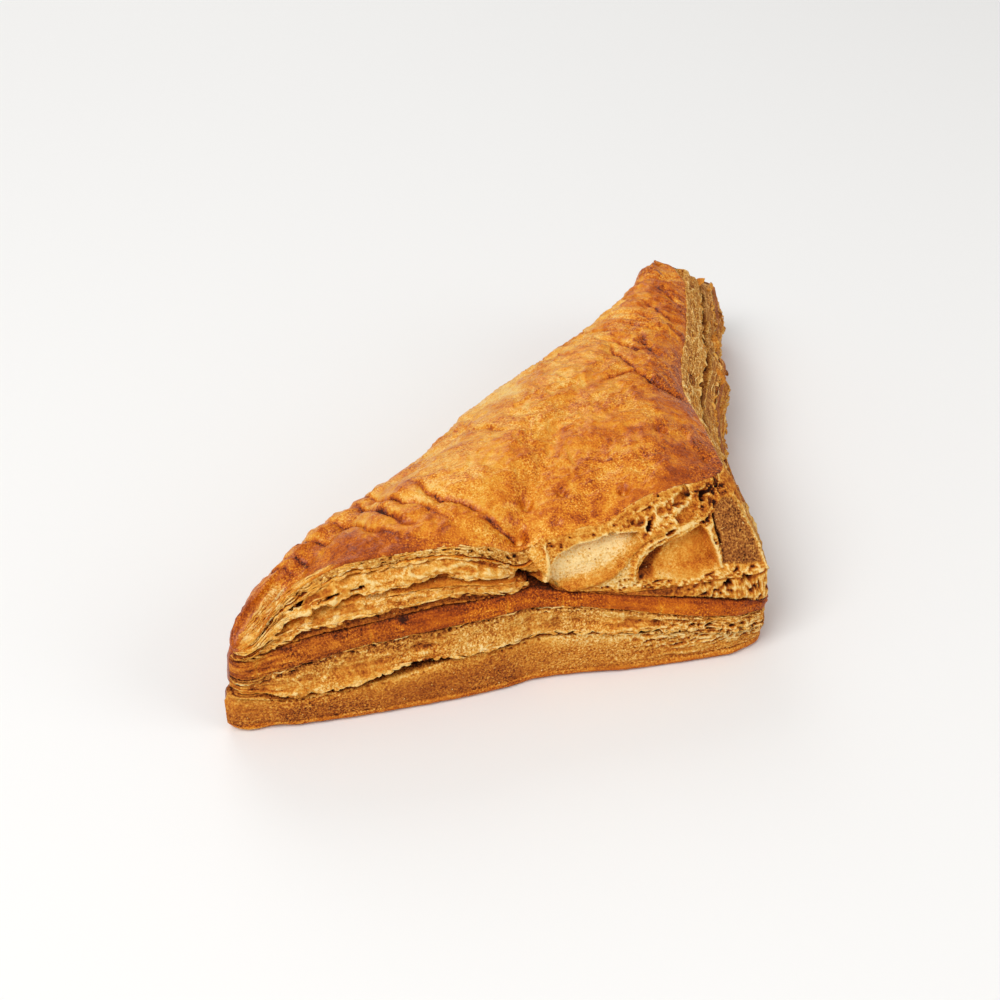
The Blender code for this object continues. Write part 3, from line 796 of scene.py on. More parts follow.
FRONT_VOIDS = (
    # x, z, half length, half height, tilt in degrees, depth, browning (the dark values are painted
    # shade)
    (-54.6, 24.6, 2.4, 1.7, 22, 0.4, 0.14),
    (-49.3, 24.8, 3.2, 1.9, 14, 0.4, 0.34),
    (-39.2, 26.3, 2.6, 1.1, 8, 0.3, 0.14),
    (-37.2, 30.3, 3.4, 1.3, 6, 0.4, 0.30),
    (-43.6, 30.2, 2.4, 1.1, 16, 0.4, 0.32),
    (-29.6, 29.8, 3.0, 1.2, -6, 0.4, 0.30),
    (-22.6, 28.3, 2.6, 1.0, -10, 0.4, 0.30),
    (-53.4, 26.9, 1.3, 0.36, 32, 1.6, 0.95),
    (-54.6, 26.3, 0.7, 0.30, 20, 1.2, 0.9),
    (-47.6, 27.4, 2.0, 0.22, 18, 1.6, 0.95),
    (-49.6, 26.8, 0.7, 0.18, 40, 1.2, 0.8),
    (-42.5, 28.1, 1.6, 0.26, 10, 1.6, 0.95),
    (-46.2, 30.6, 0.35, 0.22, 30, 0.8, 0.9),
    (-58.6, 24.4, 0.8, 0.20, 35, 0.8, 0.8),
    (6.7, 29.6, 1.0, 0.40, 5, 0.6, 0.5),
    (14.1, 30.3, 1.1, 0.60, 50, 1.5, 0.84),
    (18.1, 28.9, 1.3, 0.40, 8, 1.2, 0.68),
    (17.2, 32.2, 1.5, 0.90, 15, 0.5, 0.36),
    (21.4, 33.0, 2.1, 1.00, 20, 1.1, 0.56),
    (26.0, 32.4, 1.3, 0.80, 24, 1.7, 0.90),
    (21.9, 30.8, 2.8, 1.10, 14, 0.8, 0.46),
    (29.6, 33.0, 0.9, 0.60, 30, 1.2, 0.70),
    (11.0, 31.2, 0.8, 0.35, 20, 0.8, 0.60),
    (32.6, 18.6, 1.3, 0.9, 0, 1.5, 0.85),
    (29.0, 18.0, 1.0, 0.7, 0, 1.2, 0.75),
    (24.6, 18.6, 1.1, 0.6, 0, 1.0, 0.70),
)
COMB_SLOPE = radians(15.0)


def line_distance(path, x, z):
    """Distance from a path of straight runs."""
    nearest = np.full(x.shape, 99.0)
    for (x0, z0), (x1, z1) in zip(path, path[1:]):
        run_x, run_z = x1 - x0, z1 - z0
        share = np.clip(((x - x0) * run_x + (z - z0) * run_z) / (run_x ** 2 + run_z ** 2), 0, 1)
        nearest = np.minimum(nearest, np.hypot(x - x0 - share * run_x, z - z0 - share * run_z))
    return nearest


def inside(outline, x, z):
    """Distance in from an outline's edge, negative outside it."""
    edge = line_distance(outline + outline[:1], x, z)
    within = np.zeros(x.shape, bool)
    for (x0, z0), (x1, z1) in zip(outline, outline[1:] + outline[:1]):
        crosses = (z0 > z) != (z1 > z)
        at = x0 + (z - z0) * (x1 - x0) / ((z1 - z0) or 1e-9)
        within ^= crosses & (x < at)
    return np.where(within, edge, -edge)


# %% [markdown]
# ## Textures of torn dough
# Three kinds of detail cover the walls. Steam bubbles burst into membranes: smooth hollows
# with thin bright rims. Cut margins are porous. And everything is laminated, so fine lines
# follow the courses. All are read in coordinates that run along the wall and down the
# profile, so the lines crowd together where the courses do.


# %% Wall textures
def warped(points, amount, spacing, seed):
    """Points moved about by noise, so that a pattern read there bends and tears."""
    return points + amount * np.column_stack([swell(points, spacing, seed + k) for k in range(3)])


def membranes(points, size, seed):
    """Burst bubbles: their thin rims, how hollow they are, and a number for each."""
    nearest, following, mark = cells(warped(points, 0.9, 3.6, seed), size, seed)
    gap = following - nearest
    return near(gap, 0.11), ease(0.02, 0.55, gap), mark


def pores(points, size, seed, share):
    """Small pits in a share of the cells."""
    nearest, _, mark = cells(warped(points, 0.3, 1.6, seed), size, seed)
    return ease(0.52, 0.22, nearest) * (mark < share)


def ridged(values):
    """Thin ridges where smooth noise crosses zero."""
    return 1 - 2 * np.minimum(np.abs(values) * 2.2, 1.0)


def strip(places, low, high, soft=0.3):
    """1 between two lines of the profile, fading at both."""
    inner = ease(low - soft, low + soft, places) * (1 - ease(high - soft, high + soft, places))
    return inner[:, None]


class Surface:
    """A wall being worked on: its grid, its browning and painted shade, its crumb, and its coordinates.
    """

    def __init__(self, grid, places, bake, crumb):
        self.grid = grid
        self.places = places
        self.bake = bake
        self.crumb = crumb
        self.shape = grid.shape[:2]
        calm = ease(0.0, 0.025, SHARE + (SIDE != 0)) * (1 - ease(0.97, 1.0, SHARE) * (SIDE == 1))
        self.shown = np.broadcast_to((SIDE != 2) * calm, self.shape)
        self.push = np.zeros(self.shape)
        down = np.concatenate([[0.0], np.cumsum(spacing_down(grid))])
        depth = np.broadcast_to(down[:, None], self.shape).ravel()
        self.spots = grid.reshape(-1, 3)
        self.laid = np.column_stack([self.spots[:, :2], depth])

    def field(self, values):
        """Point values laid out as rows and columns."""
        return values.reshape(self.shape)

    def noise(self, spacing, seed, octaves=1, laid=False):
        """Swelling noise on the wall, or along its courses if laid."""
        return self.field(swell(self.laid if laid else self.spots, spacing, seed, octaves))

    def move_out(self, amount):
        """Move the surface level out of the wall, before its fine relief is gathered."""
        self.grid[..., :2] += OUT[None] * amount[..., None]

    def paint(self, bake, crumb, share):
        """Blend the browning and painted shade, and the crumb, towards new ones by a share."""
        self.bake = blend(self.bake, bake, share)
        self.crumb = blend(self.crumb, crumb, share)

    def apply(self):
        """Push the surface along its own normal by what has been gathered."""
        normal = normals_of(blurred(self.grid, 3))
        self.grid = self.grid + normal * (self.push * self.shown)[..., None]


def grain(wall, seed, layered):
    """Lumps, laminations and fine crumb; layered says how strong the laminations are."""
    lumps = wall.noise(4.2, seed, 2)
    fine = wall.noise(0.62, seed + 1, 2)
    sheets = wall.noise((6.5, 6.5, 0.50), seed + 2, 2, laid=True)
    near_tip = ON_FRONT * (1 - ease(-66.0, -50.0, wall.grid[..., 0]))
    rough = np.minimum(wall.crumb, 1.0)
    lines = layered * (0.4 + 0.6 * rough + 1.6 * near_tip)
    wall.push += 0.12 * lumps + (0.02 + 0.04 * rough) * fine + 0.13 * lines * sheets
    wall.bake += 0.04 * lumps + 0.04 * wall.noise(13.0, seed + 3, 2)
    wall.bake -= 0.13 * lines * sheets + (0.01 + 0.03 * rough) * fine


def porous(wall, weight, seed, share=0.6, size=(1.25, 1.25, 0.8), depth=0.55, dark=0.42):
    """Pits in a cut margin, darkened as painted shade, with a second, finer set between them."""
    pit = wall.field(pores(wall.laid, size, seed, share))
    small = wall.field(pores(wall.laid, np.array(size) * 0.5, seed + 9, share))
    wall.push -= weight * (depth * pit + 0.3 * depth * small)
    wall.bake += weight * (dark * pit + 0.45 * dark * small)


def bubbled(wall, weight, seed, size=(6.5, 6.5, 2.6), rim=0.42, depth=0.75):
    """Membranes of burst bubbles, some of them torn right open, with crumpled skins."""
    line, hollow, mark = (wall.field(part) for part in membranes(wall.laid, size, seed))
    fine_line = wall.field(membranes(wall.laid, np.array(size) * 0.36, seed + 3)[0])
    torn = ease(0.66, 0.80, mark)
    patchy = ease(-0.25, 0.35, wall.noise(5.0, seed + 6))
    sparse = ease(-0.1, 0.4, wall.noise(4.0, seed + 7))
    crumple = ridged(wall.noise((2.6, 2.6, 1.6), seed + 8, 2))
    wall.push += weight * (rim * line * patchy - depth * hollow * (0.35 + torn) + 0.25)
    wall.push += weight * (0.12 * fine_line * sparse + 0.06 * crumple)
    # the hollows, most of all the torn-open ones, are darkened as painted shade
    wall.bake += weight * (-0.20 * line * patchy + 0.04 * hollow + 0.26 * torn * hollow)
    wall.bake -= weight * (0.16 * fine_line * sparse + 0.05 * crumple)


def gathered(wall, weight, seed, amount=0.25):
    """Soft pleats that run down a thin sheet."""
    pleats = wall.noise((1.9, 1.9, 8.0), seed, 2, laid=True)
    wall.push += weight * amount * pleats
    wall.bake -= weight * 0.07 * pleats


def open_gap(wall, weight, openness, fill):
    """Close a crevice where its two lips touch, and take the painted shade off what then shows."""
    shut = (1 - openness) * weight * wall.shown
    wall.move_out(fill * shut)
    wall.bake -= 0.30 * shut


def openness_along(stations, x, elsewhere):
    """How far a crevice gapes at each column: from stations in x on the front."""
    open_x, open_share = np.array(stations).T
    return np.where(SIDE == 0, np.interp(x.mean(0), open_x, open_share), elsewhere)[None, :]


# %% Honeycomb and single bubbles
def honeycomb(wall, comb, seed=141):
    """Stretched voids with thin bright walls, lying along the slope of the rib."""
    x, z = wall.grid[..., 0].ravel(), wall.grid[..., 2].ravel()
    along = x * cos(COMB_SLOPE) + z * sin(COMB_SLOPE)
    across = z * cos(COMB_SLOPE) - x * sin(COMB_SLOPE)
    turned = np.column_stack([along, wall.grid[..., 1].ravel(), across])
    large = membranes(turned, (2.6, 2.6, 0.95), seed)
    small = membranes(turned, (1.1, 1.1, 0.6), seed + 10)
    line, hollow, mark, small_line, small_hollow, small_mark = map(wall.field, large + small)
    opened = ease(0.34, 0.46, mark)
    strands = wall.field(swell(turned, (6.0, 6.0, 0.5), seed + 20, 2))
    wall.push += comb * (0.10 * line - 0.55 * hollow * (0.15 + opened))
    wall.push += comb * (0.05 * small_line + 0.06 * strands)
    # the voids, most of all the opened ones, are darkened as painted shade
    wall.bake += comb * (0.36 * hollow * opened + 0.12 * hollow - 0.28 * line - 0.20 * small_line)
    wall.bake += comb * (0.14 * small_hollow * ease(0.55, 0.65, small_mark) - 0.10 * strands)


def voids(wall, table):
    """Single bubbles drawn one by one: a dished inside, darkened as painted shade in the deep ones, and
    a thin bright rim.
    """
    x, z = wall.grid[..., 0], wall.grid[..., 2]
    torn = 0.22 * wall.noise(1.3, 151, 2) + 0.10 * wall.noise(0.5, 153)
    for x0, z0, length, height, tilt, depth, bake in table:
        turn = radians(tilt)
        along = ((x - x0) * cos(turn) + (z - z0) * sin(turn)) / length
        across = ((z - z0) * cos(turn) - (x - x0) * sin(turn)) / height
        reach = np.hypot(along, across) + torn
        hollow = ON_FRONT * ease(1.05, 0.65, reach)
        rim = ON_FRONT * near(reach - 1.10, 0.16)
        wall.push += 0.16 * rim - depth * hollow
        wall.bake = blend(wall.bake, bake, 0.9 * hollow)
        wall.bake -= 0.20 * rim
        wall.crumb = blend(wall.crumb, 0.5, 0.8 * hollow)


# %% [markdown]
# A pocket is carved first and coloured after. Its colours go on like coats of paint, each
# over the last: the plain margin, the thin skins of the pockets, the shade under the rib,
# and last the bright or dark edges.


# %% Pockets, ribs and corner face
def coated(base, coats):
    """The base with each coat's tone laid over it in turn, where its share says."""
    for tone, share in coats:
        base = blend(base, tone, share)
    return base


def pocket_carving(at, z, thick):
    """How far in or out each spot of the pockets lies, in millimetres."""
    depth = 2.0 + 1.0 * ease(25.0, 29.5, z)
    carve = -depth * ease(-0.1, 0.9, at["pale"]) - 2.8 * ease(-0.1, 0.8, at["tan"])
    carve -= 0.8 * ease(-0.2, 0.8, at["hollow"]) + 0.5 * ease(-0.2, 0.5, at["face"])
    carve -= 1.2 * near(at["slit"], 0.35)
    carve += 0.6 * near(at["rib"], 0.40) + 0.6 * near(at["edge"], 0.30)
    return carve + 0.8 * near(at["fillet"] / thick, 0.9) + 0.45 * near(at["corner rim"], 0.30)


def pocket_tones(at, x, z, thick, beyond):
    """Browning of the pockets, ribs and corner face, with painted shade and a painted highlight."""
    skin = {name: ease(-soft, soft, at[name])
            for name, soft in (("web", 0.3), ("pale", 0.25), ("tan", 0.25), ("face", 0.2))}
    # near its top edge the pale pocket is darker, as painted shade under the rim
    pale_tone = 0.03 + 0.30 * near(at["pale"] - 0.2, 0.5) * ease(25.0, 29.5, z)
    tan_tone = 0.32 + 0.14 * ease(17.0, 26.0, x) - 0.16 * ease(23.0, 20.5, z) * ease(22.0, 16.0, x)
    tone = coated(np.full(x.shape, 0.42), (
        (0.62, beyond),
        (0.60, ease(22.0, 26.0, x) * ease(28.0, 30.0, z) * (1 - beyond)),
        (0.14, skin["web"]),
        (pale_tone, skin["pale"]),
        (tan_tone, skin["tan"]),
        (0.66, skin["face"]),
    ))
    shade = 0.26 * near(at["rib"], 1.3) + 0.25 * near(np.hypot(x - 13.0, z - 23.8), 2.2)
    tone = tone + ease(-0.3, 0.6, at["tan"]) * shade
    around_face = ease(31.0, 33.0, x) * ease(21.0, 23.0, z) * (1 - skin["face"])
    return coated(tone, (
        # the hollow beside the rib is coated dark as painted shade
        (0.66 + 0.24 * near(np.hypot(x - 12.0, z - 23.4), 2.6), ease(-0.3, 0.6, at["hollow"])),
        (0.61 - 0.12 * near(z - 23.0, 1.0), 0.97 * near(at["fillet"] / thick, 0.85)),
        (0.16, near(at["rib"], 0.24)),
        (0.04, near(at["edge"], 0.24)),
        (0.50, around_face),
        (0.26, near(at["corner rim"], 0.22)),
        (0.88, near(at["slit"], 0.28)),
        # a pale line round the pale pocket's rim, as a painted highlight
        (0.08, 0.8 * near(at["pale"], 0.20) * (1 - near(at["fillet"], 1.4))),
    ))


def pocket_crumb(at, thick, beyond):
    """How crumbly the pockets, ribs and corner face are."""
    return coated(np.full(beyond.shape, 0.5), (
        (1.2, beyond),
        (0.8, ease(-0.3, 0.3, at["web"])),
        (0.8, ease(-0.25, 0.25, at["pale"])),
        (0.4, ease(-0.25, 0.25, at["tan"])),
        (1.2, ease(-0.2, 0.2, at["face"])),
        (0.6, ease(-0.1, 0.8, at["hollow"])),
        (0.4, near(at["fillet"] / thick, 0.75)),
    ))


def comb_share(at, x, z, thick, beyond):
    """Where the cut is honeycomb: all of it but the pockets, the corner face and the ribs."""
    share = (1 - ease(-0.5, 0.0, at["pale"])) * (1 - ease(-0.5, 0.0, at["tan"])) * (1 - beyond)
    share = share * (1 - 0.8 * ease(31.0, 33.0, x) * ease(21.0, 23.0, z))
    share = share * (1 - ease(-0.4, 0.1, at["face"])) * (1 - near(at["fillet"] / thick, 1.0))
    return share * (1 - 0.8 * near(at["rib"], 0.4))


def pocket_surface(wall, weight):
    """Carve and colour the right half over a plain wall; says where it is smooth."""
    x = wall.grid[..., 0] + 0.22 * wall.noise(2.6, 161)
    z = wall.grid[..., 2] + 0.18 * wall.noise(2.2, 162)
    at = {name: inside(outline, x, z) for name, outline in POCKET_OUTLINES.items()}
    at.update({name: line_distance(path, x, z) for name, path in POCKET_RIBS.items()})
    thick = 0.95 - 0.60 * ease(4.0, 11.0, x)
    beyond = ease(36.0, 38.0, x)
    tones = pocket_tones(at, x, z, thick, beyond)
    wall.move_out(pocket_carving(at, z, thick) * weight)
    wall.paint(tones, pocket_crumb(at, thick, beyond), weight)
    streaks = wall.noise((1.4, 1.4, 3.4), 163, 2)
    smooth = ease(-0.2, 0.5, at["pale"]) + ease(-0.2, 0.4, at["tan"])
    wall.push += weight * smooth * 0.14 * streaks
    wall.bake -= weight * smooth * 0.05 * streaks
    comb = weight * strip(wall.places, 1.8, 22.0, 0.8) * comb_share(at, x, z, thick, beyond)
    in_web = ease(-0.2, 0.4, at["web"])
    honeycomb(wall, comb * (0.25 + 0.75 * ease(8.0, 16.0, x)) * (1 - 0.6 * in_web))
    wall.bake += 0.28 * comb * ease(20.0, 26.0, x) * ease(27.0, 29.5, z)
    porous(wall, comb * (1 - ease(8.0, 16.0, x)), 171, 0.35, (0.9, 0.9, 0.6), 0.4, 0.36)
    return weight * np.clip(smooth + ease(-0.2, 0.2, at["face"]), 0.0, 1.0)


def notch_surface(wall):
    """The hole left of the pale pocket, darkened as painted shade, and the small flap that hangs over
    it.
    """
    x = wall.grid[..., 0] + 0.25 * wall.noise(1.6, 165)
    z = wall.grid[..., 2] + 0.2 * wall.noise(1.4, 166)
    flap = ON_FRONT * ease(-0.2, 0.5, inside(NOTCH_FLAP, x, z))
    strand, hole = line_distance(NOTCH_STRAND, x, z), line_distance(NOTCH, x, z)
    wall.move_out(0.9 * flap + ON_FRONT * (1.1 * near(strand, 0.45) - 3.0 * near(hole, 0.75)))
    wall.paint(0.30, 0.3, flap)
    wall.bake = blend(wall.bake, 1.0, ON_FRONT * near(hole, 0.7))
    wall.bake = blend(wall.bake, 0.08, ON_FRONT * near(strand, 0.35))


# %% Upper relief
UPPER_OPEN = ((-77, 0.1), (-62, 0.2), (-57, 1), (-53.5, 1), (-51.5, 0.3), (-49, 1), (-46, 1),
              (-44.5, 0.5), (-42, 0.9), (-39.5, 0.8), (-37, 0.3), (-30, 0.25), (-20, 0.35),
              (-14, 0.5), (-10, 1), (41, 1))
LEDGE_LIFT = (-62.0, -52.0, -24.0, -14.0)
SHEET_END = 10.5


def leaning(lower, last, places, bulge):
    """A plain surface from the crust edge to a lower course, a little rounded."""
    reach = np.clip((places - 1) / (last - 1), 0, 1)[:, None, None]
    plain = RINGS["lip"][None] * (1 - reach) + RINGS[lower][None] * reach
    plain[..., :2] += OUT[None] * (bulge * np.sin(pi * reach))
    return plain


def shape_crevice(wall, beyond, weight):
    """The crevice opens unevenly, and on the right wall it is a deep trench, darkened as painted shade.
    """
    gape = ease(-0.25, 0.35, swell(RINGS["crevice"] * (1, 1, 0), 9.0, 152, 2))
    openness = openness_along(UPPER_OPEN, wall.grid[..., 0], gape)
    open_gap(wall, strip(wall.places, 11.4, 13.0) * (1 - weight), openness, 1.9)
    trench = beyond * (0.25 + 0.75 * gape[None, :]) * strip(wall.places, 11.3, 12.7, 0.4)
    wall.grid[..., 2] -= 2.2 * trench
    wall.move_out(-1.4 * trench)
    # painted shade in the trench
    wall.bake += 0.55 * trench
    wall.crumb = np.maximum(wall.crumb, 1.2 * beyond * strip(wall.places, 11.0, 22.0))
    wall.crumb = blend(wall.crumb, 0.2, np.minimum(1.3 * trench, 1.0))
    wall.bake += 0.14 * beyond * strip(wall.places, 13.0, 22.0)


def upper_relief(grid, places, bake, crumb):
    """Blisters, pores, torn edges and pockets of the upper layers."""
    x = grid[..., 0]
    weight = ON_FRONT * ease(*POCKET_START, x)
    weight = np.maximum(weight, ON_RIGHT * (1 - ease(0.03, 0.08, SHARE)))
    weight_over = weight * ((places >= 0.99) & (places <= 17.6))[:, None]
    grid = blend(grid, leaning("ledge", 17.0, places, 1.1), weight_over[..., None])
    beyond = ON_RIGHT * ease(0.02, 0.09, SHARE)
    sheet = strip(places, 1.0, 10.2, 0.6) * beyond
    grid = blend(grid, leaning("flap", SHEET_END, places, 0.5), (0.85 * sheet)[..., None])
    wall = Surface(grid, places, bake, crumb)
    wall.paint(0.47, 1.3, 0.85 * sheet)
    shape_crevice(wall, beyond, weight)
    slim = ON_RIGHT * (1 - ease(0.26, 0.40, SHARE)) * strip(places, 6.0, 23.5, 3.0)
    wall.move_out(-1.3 * slim)
    wave = 0.8 + 0.5 * swell(RINGS["ledge"] * (1, 1, 0), 7.0, 154, 2)[None, :]
    wall.grid[..., 2] += ON_FRONT * between(x, *LEDGE_LIFT) * wave * strip(places, 15.4, 18.4, 0.5)
    plain_cut = pocket_surface(wall, weight_over)
    notch_surface(wall)
    calm = (1 - weight_over) * (1 - 0.7 * beyond)
    lively = np.where(SIDE == 0, 1.0, 0.35)[None, :] * (1 - 0.7 * (1 - ease(-66.0, -54.0, x)))
    flap, ribbon = strip(places, 6.6, 10.5) * calm, strip(places, 13.2, 16.6) * calm
    inner = strip(places, 13.0, 17.0) * calm
    porous(wall, strip(places, 0.4, 3.8) * calm, 181, 0.42)
    bubbled(wall, flap * lively, 191, (8.0, 8.0, 3.2), 0.34, 0.6)
    gathered(wall, flap, 201, 0.25)
    bubbled(wall, 0.8 * sheet, 205, (7.0, 7.0, 4.0), 0.25, 0.4)
    bubbled(wall, ribbon * lively, 211, (9.0, 9.0, 5.0), 0.16, 0.4)
    wall.bake += 0.05 * inner
    wall.crumb += 0.5 * inner
    voids(wall, FRONT_VOIDS)
    gathered(wall, strip(places, 13.0, 17.2) * calm, 221, 0.35)
    porous(wall, strip(places, 18.2, 20.9), 231, 0.35, (0.9, 0.9, 0.7), 0.3, 0.10)
    corner = np.maximum(ON_FRONT * ease(14.0, 26.0, x), ON_RIGHT * (1 - ease(0.0, 0.2, SHARE)))
    right_end = strip(places, 18.0, 21.0) * corner
    wall.bake = blend(wall.bake, 0.46, 0.9 * right_end)
    honeycomb(wall, right_end)
    grain(wall, 241, 1.0 - 0.85 * plain_cut - 0.5 * sheet)
    wall.apply()
    return wall.grid, wall.bake, wall.crumb


upper_layers = build_wall("upper_layers", UPPER_LINES, upper_relief, ((0.93, 2.5), (0.90, 0.0)))

# %% [markdown]
# ## Lower ply
# Under the seam the dough was pressed by what lies on it, so it is denser: a smooth
# orange-brown band, a rough ribbon, an open crevice darkened as painted shade, then the
# thick grainy base with a thin line just above the sole. As above, lines that go in under
# an edge are given a dark value as painted shade.

# %% Lower profile
# same columns as the upper profile; the dark values on lines that go in are painted shade
LOWER_LINES = (
    ("ledge", "seam", 1.00, -3.00, 0.10, 10, 0.00, 0.95, 0.6),
    ("seam", "band", 0.00, -0.35, -0.05, 11, 0.10, 0.96, 0.3),
    ("seam", "band", 0.10, 0.20, 0.00, 11, 0.10, 0.80, 0.0),
    ("seam", "band", 0.50, 0.55, 0.00, 12, 0.10, 0.68, 0.0),
    ("seam", "band", 0.90, 0.35, 0.00, 12, 0.12, 0.74, 0.0),
    ("seam", "band", 1.00, -0.20, 0.00, 13, 0.16, 0.72, 0.9),
    ("band", "cleft", 0.12, 0.10, 0.00, 13, 0.20, 0.48, 0.9),
    ("band", "cleft", 0.50, -0.10, 0.00, 14, 0.30, 0.48, 0.6),
    ("band", "cleft", 0.86, 0.20, 0.00, 15, 0.36, 0.46, 0.5),
    ("band", "cleft", 1.00, 0.40, 0.00, 15, 0.40, 0.32, 0.4),
    ("band", "cleft", 1.00, -0.80, -0.10, 15, 0.36, 0.92, 0.6),
    ("cleft", "gap", 1.00, 0.00, 0.00, 16, 0.15, 1.02, 0.6),
    ("gap", "heel", 1.00, -0.70, 0.05, 17, 0.20, 0.86, 0.8),
    ("gap", "heel", 1.00, 0.05, -0.12, 17, 0.24, 0.38, 0.6),
    ("heel", "belly", 0.20, 0.35, 0.00, 17, 0.20, 0.46, 0.6),
    ("heel", "belly", 0.60, 0.30, 0.00, 18, 0.12, 0.54, 0.6),
    ("heel", "belly", 1.00, 0.20, 0.00, 18, 0.10, 0.58, 0.6),
    ("belly", "foot", 0.75, 0.10, 0.00, 19, 0.10, 0.58, 0.6),
    ("belly", "foot", 1.00, -0.08, 0.00, 19, 0.12, 0.60, 0.6),
    ("belly", "foot", 1.00, 0.10, -0.18, 19, 0.12, 0.46, 0.5),
    ("foot", "rim", 0.55, 0.12, 0.00, 20, 0.08, 0.58, 0.2),
    ("foot", "rim", 1.00, 0.00, 0.00, 20, 0.00, 0.60, 0.2),
    ("rim", "sole", 1.00, 0.00, 0.00, 20, 0.00, 0.66, 0.3),
)
LOWER_OPEN = ((-77, 0.1), (-66, 0.1), (-60, 0.3), (-53, 0.9), (-49, 0.9), (-46, 0.3), (-42, 0.6),
              (-38, 1), (-29, 1), (-25, 0.5), (-18, 0.5), (-5, 0.6), (4, 0.7), (9, 0.5),
              (20, 0.4), (28, 0.1), (41, 0))
WIDE_GAP = (-34.5, 7.0)
WIDE_GAP_RISE = 1.4
WIDE_GAP_DEPTH = 1.6
PALE_STRETCH = (-30.0, -24.0, -4.0, 4.0)
BAND_CRACKS = ((-40.8, -0.6), (-14.6, 0.5), (-3.8, 0.2), (-62.0, 0.3), (15.0, -0.3))
BAND_SPECK = (-34.7, 21.3)
DARKEST_SIDE = 0.64


def band_surface(wall, band):
    """The smooth pressed band: cracks across it, one dark speck, blisters at the corner."""
    x, z = wall.grid[..., 0], wall.grid[..., 2]
    wobble = 0.25 * wall.noise(1.6, 251)
    for place_x, lean in BAND_CRACKS:
        crack = near(x - place_x - lean * (z - 19.0) * 0.15 + wobble, 0.22) * ON_FRONT * band
        wall.push -= 0.35 * crack
        wall.bake -= 0.34 * crack
    speck_x, speck_z = BAND_SPECK
    wall.bake += 0.4 * near(np.hypot(x - speck_x, z - speck_z), 0.6) * ON_FRONT
    corner = np.maximum(ON_FRONT * ease(22.0, 36.0, x), ON_RIGHT * (1 - ease(0.0, 0.12, SHARE)))
    nearest, _, mark = cells(wall.spots, 1.5, 261)
    blister = wall.field((1 - ease(0.1, 0.5, nearest)) * (mark > 0.4))
    wall.push += 0.3 * band * corner * blister
    wall.bake += band * corner * (0.08 + 0.1 * blister)
    patches = ease(-0.3, 0.5, wall.noise((5.0, 5.0, 3.0), 262, 3))
    wall.crumb += 0.35 * band * ON_FRONT * (1 - ease(-50.0, -25.0, x))
    wall.bake += band * (0.07 * patches - 0.05 - 0.05 * ON_FRONT * ease(0.0, 14.0, x))


def slimmed(grid, places):
    """The wall drawn in at the front corner and in the middle of the right side."""
    corner = np.where(SIDE == 1, 1 - ease(0.06, 0.20, SHARE), 0.0)
    corner = corner + ease(30.0, 36.0, grid[..., 0].mean(0)) * (SIDE == 0)
    middle = (SIDE == 1) * between(SHARE, 0.50, 0.56, 0.78, 0.90)
    slim = 1.4 * corner * strip(places, 1.2, 30.0, 0.8) + 1.1 * middle * strip(places, 4.0, 30.0, 1.0)
    grid = grid.copy()
    grid[..., :2] -= OUT[None] * slim[..., None]
    return grid


